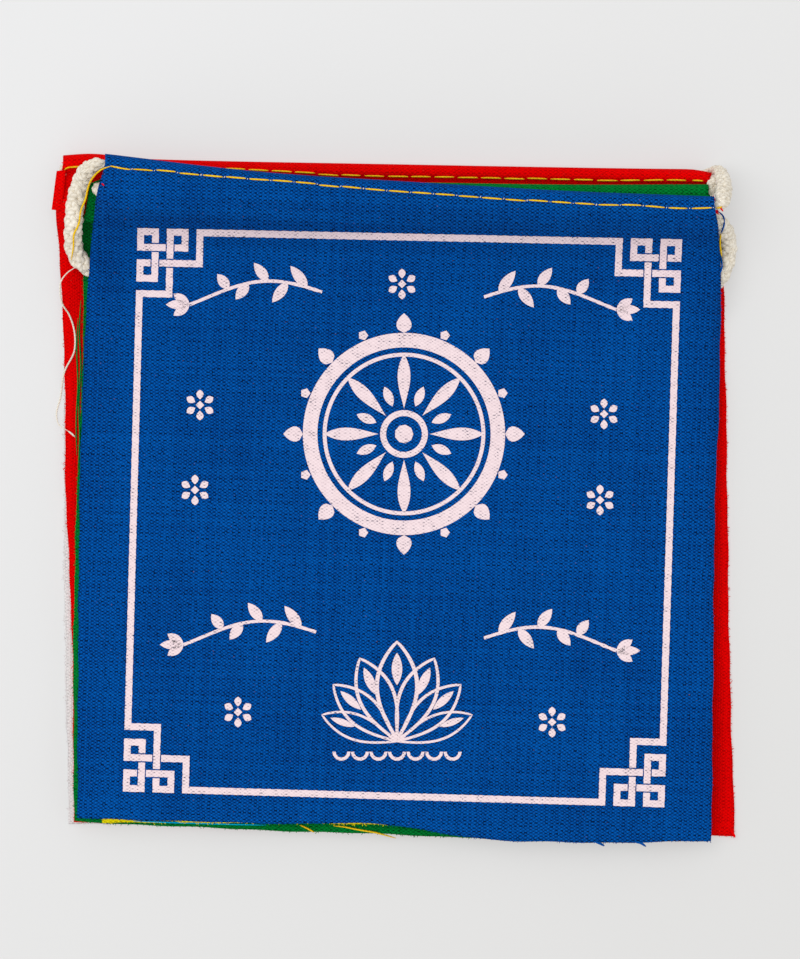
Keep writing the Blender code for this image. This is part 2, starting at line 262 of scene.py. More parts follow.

# The weave's look: how high the threads stand, their shades with painted light on one set of crossings, and
# how the small holes between them open, where painted shade goes
SPECULAR = 0.03
THREAD_RISE, CROSSING_RISE = 0.6, 0.4
SLUB_ALONG, SLUB_ACROSS = 0.06, 2.2
SLUB_SHADE, SLUB_BASE = 0.26, 0.30
THREAD_SHADE = 0.22
CROSSING_PAINTED_LIGHT = 0.42
HOLE_ROWS = 0.14
HOLE_LINES, HOLE_BASE = 0.45, -0.30
HOLE_NOISE = 1.5
HOLE_OPEN, HOLE_SHUT = -0.56, -0.14
# How strongly the holes between the threads are painted dark, painted shade
HOLE_PAINTED_SHADE = 0.92
SPECK_DARK = 0.55
CLOTH_BUMP = 0.14
INK_BUMP = 0.05

# Each cloth's painted shade between its threads, its colour in them, and the lighter colour of their tops,
# where random tone and painted light take it
SHADES = {
    "white_cloth": ((0.60, 0.56, 0.56), (0.72, 0.67, 0.67), (0.83, 0.79, 0.79)),
    "red_cloth": ((0.44, 0.0, 0.0), (0.68, 0.0, 0.0), (0.86, 0.0002, 0.0004)),
    "green_cloth": ((0.0, 0.04, 0.008), (0.0, 0.135, 0.020), (0.0004, 0.245, 0.036)),
    "yellow_cloth": ((0.50, 0.38, 0.001), (0.85, 0.70, 0.002), (0.98, 0.86, 0.006)),
    "blue_cloth": ((0.0001, 0.0014, 0.009), (0.0002, 0.023, 0.145), (0.0004, 0.108, 0.460)),
}
SPECK = (0.22, 0.10, 0.06)
# The ink's darker and lighter colour: the threads' random shades and the painted light on one set of
# crossings move it between them
INK_DARK = (0.74, 0.59, 0.62)
INK_LIGHT = (0.87, 0.715, 0.745)
INK_HOLE = (0.02, 0.03, 0.08)
# Yarn colours: the plies' painted shade and light and the fibres' random tone move each yarn between its
# darker and lighter colour
CORD_DARK = (0.60, 0.53, 0.42)
CORD_LIGHT = (0.91, 0.86, 0.76)
GOLD_DARK = (0.66, 0.36, 0.004)
GOLD_LIGHT = (1.0, 0.68, 0.02)
CYAN_DARK = (0.0, 0.34, 0.66)
CYAN_LIGHT = (0.0, 0.50, 0.86)

# The top flag's creases: a soft ridge or trough from one pixel to another
Crease = namedtuple("Crease", "start end width height")
CREASES = (
    Crease((110, 196), (290, 205), 2.4, 0.25),
    Crease((140, 290), (280, 283), 4.5, -0.35),
    Crease((440, 268), (610, 262), 5.0, 0.30),
    Crease((595, 322), (675, 316), 4.0, -0.30),
    Crease((160, 350), (340, 450), 7.0, 0.35),
    Crease((120, 235), (300, 245), 2.5, -0.25),
    Crease((620, 228), (705, 236), 2.2, -0.25),
    Crease((430, 560), (640, 610), 9.0, -0.30),
    Crease((180, 700), (330, 640), 8.0, 0.25),
    Crease((560, 740), (690, 700), 8.0, -0.25),
)

# Sewing: how far below the fold each seam is, measured along the cloth, and the stitches' size
FOLD_TO_TOP = 1.6
SEAM_DOWN = {"flag_blue": 2.9, "flag_red": 2.9}
SEAM_WIDTH = 0.7
SEAM_DEPTH = 0.45
SEAM_PUCKER = 0.3
STITCH_PITCH = 5.45
STITCH_SHARE = 0.95
STITCH_RADIUS = 0.2
BLUE_SEAM = (
    (110, 166), (125.7, 169.2), (147, 171), (195, 175.3), (241, 179.5), (285.8, 182.5), (331.3, 186.5),
    (379, 191), (427, 194.5), (471.7, 197.4), (516.4, 200.7), (556.6, 203.4), (594.5, 205.7), (637.8, 206.6),
    (675.5, 209.2), (698, 209.2), (722.5, 208.0),
)
RED_SEAM_LEFT = ((63.3, 170.6), (66.3, 167.6), (74, 166.4), (96, 166.6))
RED_SEAM = (
    (108, 167.0), (160, 168.0), (230.8, 169), (287, 171.7), (354, 175.3), (427, 176.8), (489, 177.3),
    (552, 179.3), (615, 180.6), (690, 180.8), (709, 182.2),
)

# Fibre ends along the raw edges
FRAYS_PER_MM = 1.6
LONGEST_FRAY = {
    "flag_white": 0.5, "flag_red": 0.35, "flag_green": 0.3, "flag_yellow": 0.4, "flag_blue": 0.3,
}

# The braid: strands each way round, how far out they lie and how thick they are, as shares of its radius
STRANDS = 4
STRAND_SIDES = 6
STRAND_OUT = 0.6
STRAND_WEAVE = 0.12
STRAND_SIZE = 0.43
BRAID_SHARE = 0.95
BRAID_LAY = 13.0
BRAID_STEP = 0.5
HIDDEN_STEP = 2.2
LOOPS_FROM = 66.0
STRING_END = 40
ROUNDING_REACH = 7

# The print: the frame line and the corner knots, and the design inside them
FRAME_LINE = 1.58
KNOT_ACROSS = 3.47
KNOT_DOWN = 3.62
KNOT_GAP = 0.30
INK_STEP = 0.8
INK_LIFT = 0.06
INK_LAYER = 0.0003
STEEPEST = 0.35
INK_WOBBLE = 0.05
Corner = namedtuple("Corner", "name outer across down turned")
CORNERS = (
    Corner("top_left", (141.0, 231.8), (678.3, 243.1), (126.3, 788.2), turned=False),
    Corner("top_right", (678.3, 243.1), (141.0, 231.8), (661.0, 803.8), turned=True),
    Corner("bottom_left", (126.3, 788.2), (661.0, 803.8), (141.0, 231.8), turned=True),
    Corner("bottom_right", (661.0, 803.8), (126.3, 788.2), (678.3, 243.1), turned=False),
)
WHEEL_RADIUS = 22.0
WHEEL_AT = (404, 434)
LOTUS_AT = (397, 742)
LOTUS_SIZE = 1.4
LOTUS_PETALS = (
    (90, 17.0, 7.4), (66, 15.5, 6.4), (114, 15.5, 6.4), (42, 14.5, 5.6), (138, 14.5, 5.6),
    (20, 13.5, 4.6), (160, 13.5, 4.6),
)
SPRIG_WIDE = 31.0
SPRIGS = (((316, 632), -1), ((484, 638), 1), ((322, 292), -1), ((484, 297), 1))
ROSETTES = ((200, 405), (195, 490), (604, 414), (600, 500), (402, 284), (238, 712), (552, 722))

# The loose threads, each a line of pixels
Thread = namedtuple("Thread", "name flag kind radius line")
THREADS = (
    Thread("white_curl", "flag_white", "pale", 0.22, (
        (76.8, 266.7), (67.4, 272.8), (60.7, 282), (60, 291.5), (62, 303.6), (68.7, 314.3), (73.4, 327.7),
        (74.1, 350.4), (64, 372), (60, 397), (56, 416), (58, 424), (67.4, 430.8))),
    Thread("white_tuft", "flag_white", "pale", 0.22, ((67.4, 430.8), (70.5, 433), (75, 437))),
    Thread("yellow_tail", "flag_yellow", "golden", 0.24, (
        (112, 167), (102, 170.6), (95.9, 175.7), (90.8, 182.9), (88.6, 189), (86.2, 199.2), (81.6, 210.4),
        (79, 224.7), (74.3, 234.9), (73.7, 247), (71.4, 260.4))),
    Thread("yellow_end", "flag_yellow", "golden", 0.22, (
        (720.6, 234.4), (719.6, 241), (720.2, 249), (721.7, 256.6))),
    Thread("yellow_foot_one", "flag_yellow", "golden", 0.2, (
        (299.7, 825.2), (306, 828), (314.2, 832.6))),
    Thread("yellow_foot_two", "flag_yellow", "golden", 0.2, (
        (333.4, 826), (345, 827.2), (356.3, 829.5), (376, 833), (396, 838.5))),
    Thread("green_side_one", "flag_green", "green_cloth", 0.2, (
        (80.5, 300), (79, 330), (80.5, 365), (78.5, 402), (79.5, 440), (77.5, 470))),
    Thread("green_side_two", "flag_green", "green_cloth", 0.18, (
        (77.5, 318), (76.4, 350), (77.6, 385), (75.9, 420), (76.4, 455))),
    Thread("blue_end_one", "flag_blue", "blue_cloth", 0.2, (
        (685.4, 210), (699.2, 217), (708.4, 219.2), (715.3, 215.8))),
    Thread("blue_end_two", "flag_blue", "blue_cloth", 0.2, (
        (717.5, 211.5), (722.8, 216.8), (723.6, 224.5), (720.6, 233.7))),
    Thread("blue_end_three", "flag_blue", "blue_cloth", 0.2, (
        (719.8, 253.6), (721.7, 267.3), (719, 275.7))),
    Thread("red_bit", "flag_red", "red_cloth", 0.2, (
        (719, 208.6), (720.6, 210.5), (722, 212.5))),
    Thread("cyan_foot", "flag_yellow", "cyan", 0.2, (
        (133, 821.0), (160, 822.0), (190, 823.1), (225, 824.2), (266, 825.3))),
    Thread("red_fleck", "flag_red", "red_cloth", 0.2, (
        (102.6, 184.4), (104, 185.4), (105.2, 186.9))),
    Thread("blue_hem_end", "flag_blue", "golden", 0.2, (
        (714.5, 209), (718, 208.8), (721, 207.6))),
    Thread("red_last_stitch", "flag_red", "golden", 0.2, (
        (692, 180.6), (697, 180.7), (703, 181.2))),
    Thread("red_foot", "flag_red", "red_cloth", 0.3, ((731, 830), (733.5, 834), (735.5, 838))),
    Thread("blue_foot_one", "flag_blue", "blue_cloth", 0.28, (
        (595, 841.8), (600, 843.5), (604.5, 846))),
    Thread("blue_foot_two", "flag_blue", "blue_cloth", 0.28, (
        (634, 841.6), (641, 843.2), (646, 846.5))),
)

# Where the hems' ends stand out beyond their flags: four corners each, and the heights at both sides
RED_FLAP = ((57, 171), (66, 170), (62, 211), (51.5, 209.5))
RED_FLAP_HEIGHTS = (5.9, 6.4)
GREEN_CORNER = ((90.0, 184), (104, 178), (112, 222), (84.0, 222))
GREEN_CORNER_HEIGHTS = (8.2, 8.6)


def smooth(share, shares, values):
    """A smooth curve through a table's values, read at a share."""
    shares, values = np.array(shares), np.array(values)
    slopes = np.gradient(values, shares)
    share = np.asarray(share, float)
    k = np.clip(np.searchsorted(shares, share, side="right") - 1, 0, len(shares) - 2)
    width = shares[k + 1] - shares[k]
    t = (share - shares[k]) / width
    ends = values[k] * (1 + 2 * t) * (1 - t) ** 2 + values[k + 1] * t * t * (3 - 2 * t)
    return ends + width * t * (1 - t) * (slopes[k] * (1 - t) - slopes[k + 1] * t)


def drop(flag, across):
    """How far it is from fold to foot at a share of the way across."""
    return smooth(across, FOLD_AT, flag.fold) - smooth(across, FOOT_AT, flag.foot)


def place(flag, across, down):
    """The x and y of a point of a flag, a share of the way across and so far down from its fold."""
    share = down / drop(flag, across)
    left = smooth(share, SIDE_AT, flag.left)
    right = smooth(share, SIDE_AT, flag.right)
    x = left + (right - left) * across
    return x, smooth(across, FOLD_AT, flag.fold) - down


def empty_map(value=-np.inf):
    side = round(2 * MAP_HALF / CELL) + 1
    return np.full((side, side), value)


def stamped(points):
    """A height map of points, the highest in each cell."""
    heights = empty_map()
    i, j = (np.rint((points[..., k] + MAP_HALF) / CELL).astype(int).ravel() for k in (0, 1))
    np.maximum.at(heights, (i, j), points[..., 2].ravel())
    return heights


def read(heights, x, y):
    """The height at a place, between the four cells around it."""
    cx, cy = (x + MAP_HALF) / CELL, (y + MAP_HALF) / CELL
    i, j = np.floor(cx).astype(int), np.floor(cy).astype(int)
    fx, fy = cx - i, cy - j
    near = heights[i, j] * (1 - fx) + heights[i + 1, j] * fx
    far = heights[i, j + 1] * (1 - fx) + heights[i + 1, j + 1] * fx
    return near * (1 - fy) + far * fy


def raised(heights, radius):
    """The surface that a ball of this radius, rolled over a height map, keeps its centre on."""
    reach = int(radius / CELL)
    out = np.full_like(heights, -np.inf)
    for i in range(-reach, reach + 1):
        for j in range(-reach, reach + 1):
            left = radius**2 - (i * i + j * j) * CELL**2
            if left >= 0:
                np.maximum(out, np.roll(heights, (i, j), (0, 1)) + math.sqrt(left), out=out)
    return out


def domed(heights, radius):
    """A height map with a dome of this top radius on each cell, one way across and then the other."""
    for axis in (0, 1):
        out = heights.copy()
        for k in range(1, int(REACH / CELL) + 1):
            sink = (k * CELL) ** 2 / (2 * radius)
            for way in (-k, k):
                np.maximum(out, np.roll(heights, way, axis) - sink, out=out)
        heights = out
    return heights


def bridged(heights, radius):
    """A height map whose hollows are filled up to this bending radius."""
    return -domed(-domed(heights, radius), radius)


def bridged_line(heights, places, radius):
    """Heights along a line, with its hollows filled the same way."""
    sink = (places[:, None] - places[None, :]) ** 2 / (2 * radius)
    domes = (heights[None, :] - sink).max(axis=1)
    return (domes[None, :] + sink).min(axis=1)


def finer(grid):
    """A grid of points with straight lines between them, sampled more closely."""
    at = [np.linspace(0, n - 1, (n - 1) * SAMPLES + 1) for n in grid.shape[:2]]
    low = [np.minimum(a.astype(int), n - 2) for a, n in zip(at, grid.shape[:2])]
    part_i, part_j = (at[0] - low[0])[:, None, None], (at[1] - low[1])[None, :, None]
    rows = grid[low[0]] * (1 - part_i) + grid[low[0] + 1] * part_i
    return rows[:, low[1]] * (1 - part_j) + rows[:, low[1] + 1] * part_j


def lifted_clear(grid, needed):
    """A grid of points raised just so far that the straight faces between them clear a height map."""
    close = finer(grid)
    short = np.maximum(read(needed, close[..., 0], close[..., 1]) - close[..., 2], 0.0)
    rows, columns = grid.shape[0] - 1, grid.shape[1] - 1
    lift = np.zeros(grid.shape[:2])
    for i in range(rows):
        for j in range(columns):
            block = short[i * SAMPLES : (i + 1) * SAMPLES + 1, j * SAMPLES : (j + 1) * SAMPLES + 1]
            lift[i : i + 2, j : j + 2] = np.maximum(lift[i : i + 2, j : j + 2], block.max())
    out = grid.copy()
    out[..., 2] += lift
    return out


def cord_line(points):
    """Points close together on the straight lines through a cord's points, each x, y, z and radius."""
    steps = np.linspace(0, len(points) - 1, (len(points) - 1) * SAMPLES + 1)
    return np.stack([np.interp(steps, np.arange(len(points)), points[:, k]) for k in range(4)], axis=1)


def over_cord(points, gap):
    """How high the middle of a cloth has to be to clear a cord by this gap."""
    heights = empty_map()
    line = cord_line(points)
    for radius in np.unique(np.round(line[:, 3], 1)):
        part = line[np.round(line[:, 3], 1) == radius]
        np.maximum(heights, raised(stamped(part[:, :3]), radius + CLOTH / 2 + gap), out=heights)
    return heights


def ripple(flag, x, y):
    """Low waves that run mostly along the hems and fade towards the foot."""
    along = np.sin(y / 6.4 + x / 55.0 + 1.3) * np.exp(-(((y - 50.0) / 26.0) ** 2))
    across = 0.5 * np.sin(x / 17.0 - y / 31.0 + 2.1)
    return flag.wave * (along + across + 1.5)


def laid_sheet(flag, pile, cords):
    """The grid of a flag's sheet laid on the pile and over cords, and the line of the string in its hem."""
    columns = np.array(COLUMN_AT)
    needed = np.maximum(raised(pile, CLOTH_PITCH), cords)
    bed = bridged(needed, TURNED_BEND)
    x, y = place(flag, columns, HEM_DOWN)
    close = np.linspace(0, 1, LINE_SAMPLES)
    close_x, close_y = place(flag, close, HEM_DOWN)
    window = np.abs(close[None, :] - columns[:, None]) < LINE_REACH

    def seat_on(cloth):
        seat = bridged_line(read(raised(cloth, HEM_BEND), close_x, close_y), close_x, STRING_BEND)
        return np.where(window, seat[None, :], -np.inf).max(axis=1)

    string_z = seat_on(bed)
    downs = HEM_DOWN + (flag.turned - HEM_DOWN) * np.linspace(1, 0, UNDER_ROWS + 1) ** 2
    under_x, under_y = place(flag, columns[:, None], downs[None, :])
    inset = flag.inset * (1 - 2 * columns[:, None]) ** 9 * (1 - (downs[None, :] == downs[-1]))
    fade = (flag.turned - downs) / (flag.turned - downs[-1])
    lift = string_z - HEM_BEND - read(bed, x, y)
    under_z = read(bed, under_x, under_y) + lift[:, None] * (fade * fade * (3 - 2 * fade))[None, :]
    under = lifted_clear(np.stack([under_x + inset, under_y, under_z], axis=2), needed)
    bottom_z = under[:, -1, 2]
    string = np.stack([x, y, np.maximum(bottom_z + HEM_BEND, seat_on(stamped(finer(under))))], axis=1)

    tube = raised(stamped(finer(np.stack([string, string], axis=1))), HEM_BEND)
    clear = np.maximum.reduce([needed, raised(stamped(finer(under)), CLOTH_PITCH), tube])
    cover = bridged(clear, flag.bend)
    near = np.linspace(HEM_DOWN, NEAR_REACH, NEAR_ROWS + 1)
    far = np.linspace(0, 1, FAR_ROWS + 1)[1:]
    near_down = np.repeat(near[None, :], len(columns), axis=0)
    far_down = NEAR_REACH + (drop(flag, columns)[:, None] - NEAR_REACH) * far[None, :]
    down = np.concatenate([near_down, far_down], axis=1)
    face_x, face_y = place(flag, columns[:, None], down)
    face_z = read(cover, face_x, face_y) + ripple(flag, face_x, face_y)
    face = lifted_clear(np.stack([face_x, face_y, face_z], axis=2), clear)

    angles = np.linspace(-math.pi / 2, math.pi / 2, FOLD_ROWS + 1)[1:-1]
    half = (face[:, 0, 2] - bottom_z)[:, None] / 2
    fold = np.stack(
        [
            np.repeat(x[:, None], len(angles), axis=1),
            y[:, None] + HEM_BEND * np.cos(angles)[None, :],
            bottom_z[:, None] + half + half * np.sin(angles)[None, :],
        ],
        axis=2,
    )
    return np.concatenate([under, fold, face], axis=1), string


def in_hem(string):
    """The cord's points in a hem, at both ends and every second column of its flag."""
    chosen = np.concatenate([string[:1], string[1:-1:STRING_STEP], string[-1:]])
    return np.column_stack([chosen, np.full(len(chosen), SQUEEZED_RADIUS)])


def resting(stops, pile, start):
    """The points of a loop that lies on the pile, and comes down to it from a start height."""
    route = np.array([[s.x, s.y, 0.0, s.radius] for s in stops])
    first = [s.height for s in stops].index(RESTS)
    line = cord_line(route[first:])
    seat = [
        read(raised(pile, radius + AIR + CLOTH / 2), line[:, 0], line[:, 1])
        for radius in (SQUEEZED_RADIUS, LOOP_RADIUS)
    ]
    share = (line[:, 3] - SQUEEZED_RADIUS) / (LOOP_RADIUS - SQUEEZED_RADIUS)
    places = np.concatenate([[0.0], np.cumsum(np.hypot(*np.diff(line[:, :2], axis=0).T))])
    heights = seat[0] + (seat[1] - seat[0]) * share
    route[first:, 2] = bridged_line(heights, places, STRING_BEND)[::SAMPLES]
    for k in range(first):
        route[k, 2] = start + (route[first, 2] - start) * stops[k].height
    return route


def between(stops, low, high):
    """The points of a loop whose heights are shares of the way between two ends."""
    return np.array([[s.x, s.y, low + (high - low) * s.height, s.radius] for s in stops])


def laid_flags():
    """The grids of the five sheets and the string's whole route, as the solids have them."""
    pile = empty_map(FLOOR)
    sheets, strings = {}, {}

    def lay(flag, cords):
        sheets[flag.name], strings[flag.name] = laid_sheet(flag, pile, cords)
        return np.maximum(pile, stamped(finer(sheets[flag.name])))

    white, red, green, yellow, blue = FLAGS
    pile = lay(white, empty_map())
    white_end = strings["flag_white"][-1, 2]
    under_red = resting(WHITE_UNDER_RED, pile, white_end)
    lower = between(WHITE_TO_RED, strings["flag_white"][0, 2], strings["flag_white"][0, 2])
    pile = lay(red, np.maximum(over_cord(under_red, AIR), over_cord(lower[:3], AIR)))
    turn_left = between(WHITE_TO_RED, strings["flag_white"][0, 2], strings["flag_red"][0, 2])
    pile = lay(green, empty_map())
    turn_right = between(RED_TO_GREEN, strings["flag_red"][-1, 2], strings["flag_green"][-1, 2])
    pile = lay(yellow, empty_map())
    turn_back = between(GREEN_TO_YELLOW, strings["flag_green"][0, 2], strings["flag_yellow"][0, 2])
    yellow_end = resting(YELLOW_TO_END, pile, strings["flag_yellow"][-1, 2])
    blue_end = resting(END_TO_BLUE, pile, None)
    cords = [over_cord(c, AIR) for c in (yellow_end, blue_end[:3], turn_right, turn_back)]
    pile = lay(blue, np.maximum.reduce(cords))
    round_to_blue = between(ROUND_TO_BLUE, under_red[-1, 2], strings["flag_blue"][-1, 2])
    rise = np.array([max(s.height, 0.0) for s in END_TO_BLUE])
    blue_end[:, 2] += rise * (strings["flag_blue"][0, 2] - blue_end[-1, 2])
    route = [
        blue_end,
        in_hem(strings["flag_blue"]),
        round_to_blue[::-1],
        under_red[::-1],
        in_hem(strings["flag_white"])[::-1],
        turn_left,
        in_hem(strings["flag_red"]),
        turn_right,
        in_hem(strings["flag_green"])[::-1],
        turn_back,
        in_hem(strings["flag_yellow"]),
        yellow_end,
    ]
    return sheets, np.concatenate(route)


# Camera, floor and light

def at_pixel(u, v):
    """The x and y, in millimetres, of a pixel of the photograph."""
    return (u - ORIGIN_U) * PIXEL, (ORIGIN_V - v) * PIXEL


def make_camera():
    """A camera straight above, far away, that frames what the photograph shows."""
    x, y = at_pixel(PHOTO_WIDTH / 2, PHOTO_HEIGHT / 2)
    data = bpy.data.cameras.new("camera")
    data.lens = data.sensor_width * CAMERA_AWAY / (PHOTO_HEIGHT * PIXEL)
    camera = bpy.data.objects.new("camera", data)
    camera.location = (x * MM, y * MM, (FACE_HEIGHT + CAMERA_AWAY) * MM)
    data.clip_end = 2 * CAMERA_AWAY * MM
    bpy.context.scene.collection.objects.link(camera)
    bpy.context.scene.camera = camera


def make_light():
    """One big soft lamp from the upper left, and pale light from all round."""
    lamp = bpy.data.lights.new("lamp", "AREA")
    lamp.shape = "SQUARE"
    lamp.size = LAMP_SIDE
    lamp.energy = LAMP_WATTS
    placed = bpy.data.objects.new("lamp", lamp)
    placed.location = LAMP_AT
    placed.rotation_euler = (-Vector(LAMP_AT)).to_track_quat("-Z", "Y").to_euler()
    bpy.context.scene.collection.objects.link(placed)
    world = bpy.data.worlds.new("room")
    world.use_nodes = True
    world.node_tree.nodes["Background"].inputs["Color"].default_value = ROOM_COLOUR
    world.node_tree.nodes["Background"].inputs["Strength"].default_value = ROOM_LIGHT
    bpy.context.scene.world = world
    bpy.context.scene.view_settings.view_transform = "Standard"


def make_floor():
    half = FLOOR_HALF
    corners = [(-half, -half, 0), (half, -half, 0), (half, half, 0), (-half, half, 0)]
    mesh = bpy.data.meshes.new("floor")
    mesh.from_pydata(corners, [], [(0, 1, 2, 3)])
    mesh.materials.append(paper_material())
    floor = bpy.data.objects.new("floor", mesh)
    bpy.context.scene.collection.objects.link(floor)


# Materials

class Nodes:
    """A material's nodes, made and joined in short lines."""

    def __init__(self, name, roughness, sheen=0.0):
        self.material = bpy.data.materials.new(name)
        self.material.use_nodes = True
        self.tree = self.material.node_tree
        self.shader = self.tree.nodes["Principled BSDF"]
        self.shader.inputs["Roughness"].default_value = roughness
        self.shader.inputs["Specular IOR Level"].default_value = SPECULAR
        self.shader.inputs["Sheen Weight"].default_value = sheen
        self.shader.inputs["Sheen Roughness"].default_value = 0.5

    def set(self, socket, value):
        if isinstance(value, bpy.types.NodeSocket):
            self.tree.links.new(value, socket)
        else:
            socket.default_value = value

    def math(self, operation, *values):
        node = self.tree.nodes.new("ShaderNodeMath")
        node.operation = operation
        for socket, value in zip(node.inputs, values):
            self.set(socket, value)
        return node.outputs[0]

    def uv(self):
        node = self.tree.nodes.new("ShaderNodeTexCoord")
        split = self.tree.nodes.new("ShaderNodeSeparateXYZ")
        self.tree.links.new(node.outputs["UV"], split.inputs[0])
        return split.outputs["X"], split.outputs["Y"]

    def split(self, vector):
        node = self.tree.nodes.new("ShaderNodeSeparateXYZ")
        self.set(node.inputs[0], vector)
        return node.outputs

    def vector(self, x, y, z=0.0):
        node = self.tree.nodes.new("ShaderNodeCombineXYZ")
        for socket, value in zip(node.inputs, (x, y, z)):
            self.set(socket, value)
        return node.outputs[0]

    def place(self):
        return self.tree.nodes.new("ShaderNodeTexCoord").outputs["Object"]

    def noise(self, vector, scale, detail=2.0, roughness=0.5):
        node = self.tree.nodes.new("ShaderNodeTexNoise")
        self.set(node.inputs["Vector"], vector)
        self.set(node.inputs["Scale"], scale)
        node.inputs["Detail"].default_value = detail
        node.inputs["Roughness"].default_value = roughness
        return node.outputs["Fac"]

    def thread_noise(self, value):
        """A number from 0 to 1 for each whole number."""
        node = self.tree.nodes.new("ShaderNodeTexWhiteNoise")
        node.noise_dimensions = "1D"
        self.set(node.inputs["W"], self.math("FLOOR", value))
        return node.outputs["Value"]

    def range(self, value, low, high, to_low=0.0, to_high=1.0):
        node = self.tree.nodes.new("ShaderNodeMapRange")
        for name, number in (("From Min", low), ("From Max", high), ("To Min", to_low), ("To Max", to_high)):
            node.inputs[name].default_value = number
        self.set(node.inputs["Value"], value)
        return node.outputs[0]

    def mix(self, share, first, second):
        node = self.tree.nodes.new("ShaderNodeMix")
        node.data_type = "RGBA"
        self.set(node.inputs["Factor"], share)
        for name, value in (("A", first), ("B", second)):
            socket = [s for s in node.inputs if s.name == name and s.type == "RGBA"][0]
            self.set(socket, value if isinstance(value, bpy.types.NodeSocket) else (*value, 1.0))
        return [s for s in node.outputs if s.type == "RGBA"][0]

    def bump(self, height, distance, strength=1.0):
        node = self.tree.nodes.new("ShaderNodeBump")
        node.inputs["Strength"].default_value = strength
        node.inputs["Distance"].default_value = distance * MM
        self.set(node.inputs["Height"], height)
        self.tree.links.new(node.outputs["Normal"], self.shader.inputs["Normal"])

    def colour(self, value):
        self.set(self.shader.inputs["Base Color"], value)


def woven(nodes):
    """The plain weave: how high the cloth stands, how open it is, its threads' shades with painted light on
    one set of crossings, and its place.
    """
    u, v = nodes.uv()
    x = nodes.math("MULTIPLY", u, UV_SIDE)
    y = nodes.math("MULTIPLY", v, UV_SIDE)
    sway = nodes.noise(nodes.vector(x, y), 0.35, 2.0)
    sway = nodes.math("MULTIPLY", nodes.math("SUBTRACT", sway, 0.5), THREAD_SWAY)
    warp = nodes.math("ADD", nodes.math("DIVIDE", x, WARP_PITCH), sway)
    weft = nodes.math("ADD", nodes.math("DIVIDE", y, WEFT_PITCH), sway)
    warp_wave = nodes.math("SINE", nodes.math("MULTIPLY", warp, math.pi))
    weft_wave = nodes.math("SINE", nodes.math("MULTIPLY", weft, math.pi))
    warp_top = nodes.math("ABSOLUTE", warp_wave)
    weft_top = nodes.math("ABSOLUTE", weft_wave)
    over = nodes.math("MULTIPLY", warp_wave, weft_wave)
    warp_rise = nodes.math("MULTIPLY_ADD", over, CROSSING_RISE, THREAD_RISE)
    weft_rise = nodes.math("MULTIPLY_ADD", over, -CROSSING_RISE, THREAD_RISE)
    warp_height = nodes.math("MULTIPLY", warp_top, warp_rise)
    weft_height = nodes.math("MULTIPLY", weft_top, weft_rise)
    height = nodes.math("MAXIMUM", warp_height, weft_height)
    slub_place = nodes.vector(nodes.math("MULTIPLY", x, SLUB_ALONG), nodes.math("MULTIPLY", y, SLUB_ACROSS))
    slub = nodes.noise(slub_place, 1.0, 3.0)
    warp_shade = nodes.math("MULTIPLY", nodes.thread_noise(warp), THREAD_SHADE)
    weft_shade = nodes.math("MULTIPLY", nodes.thread_noise(weft), THREAD_SHADE)
    shade = nodes.math("ADD", warp_shade, weft_shade)
    shade = nodes.math("ADD", shade, nodes.math("MULTIPLY_ADD", slub, SLUB_SHADE, SLUB_BASE))
    open_noise = nodes.noise(nodes.vector(x, y), 1.1, 2.0)
    rows = nodes.math("MULTIPLY", weft_wave, HOLE_ROWS)
    lines = nodes.math("MULTIPLY_ADD", warp_top, HOLE_LINES, HOLE_BASE)
    narrow = nodes.math("MULTIPLY", over, nodes.math("POWER", warp_top, 3.0))
    gap = nodes.math("ADD", narrow, nodes.math("ADD", rows, lines))
    uneven_gap = nodes.math("MULTIPLY", nodes.math("SUBTRACT", open_noise, 0.5), HOLE_NOISE)
    gap = nodes.math("ADD", gap, uneven_gap)
    hole = nodes.range(gap, HOLE_OPEN, HOLE_SHUT, 1.0, 0.0)
    # Painted light: one set of crossings is painted lighter than the other
    shade = nodes.math("ADD", shade, nodes.math("MULTIPLY", over, CROSSING_PAINTED_LIGHT))
    return height, hole, shade, nodes.vector(x, y)


def cloth_material(name, dark, middle, light, roughness=0.95):
    """Dyed plain-woven cotton: painted shade between its threads, painted light on their tops and on one set
    of crossings, and uneven in its dye.
    """
    nodes = Nodes(name, roughness)
    height, hole, shade, place = woven(nodes)
    dye = nodes.noise(place, 0.045, 3.0)
    tone_and_painted_light = nodes.math("ADD", nodes.math("MULTIPLY", shade, 0.55), nodes.math("MULTIPLY_ADD", dye, 0.3, 0.1))
    # Painted light: the threads' tops are painted lighter where the weave stands high
    tone_and_painted_light = nodes.math("ADD", tone_and_painted_light, nodes.math("MULTIPLY", height, 0.45))
    colour = nodes.mix(nodes.range(tone_and_painted_light, 0.5, 1.25), middle, light)
    # Painted shade: the holes between the threads are painted dark
    colour = nodes.mix(nodes.math("MULTIPLY", hole, HOLE_PAINTED_SHADE), colour, dark)
    speck = nodes.range(nodes.noise(place, 1.7, 1.0), 0.76, 0.80)
    nodes.colour(nodes.mix(nodes.math("MULTIPLY", speck, SPECK_DARK), colour, SPECK))
    nodes.bump(height, CLOTH_BUMP, 0.9)
    return nodes.material


def ink_material():
    """Pale screen ink on the threads' tops, with the blue showing through where the weave is open."""
    nodes = Nodes("print_ink", 0.75)
    height, hole, shade, place = woven(nodes)
    wear = nodes.noise(place, 0.55, 4.0, 0.65)
    pinhole = nodes.math("MULTIPLY", hole, nodes.range(wear, 0.46, 0.60))
    # The ink follows the threads' random shades and the painted light on one set of crossings
    colour = nodes.mix(nodes.range(shade, 0.2, 1.1), INK_DARK, INK_LIGHT)
    nodes.colour(nodes.mix(pinhole, colour, INK_HOLE))
    nodes.bump(height, INK_BUMP, 0.5)
    return nodes.material


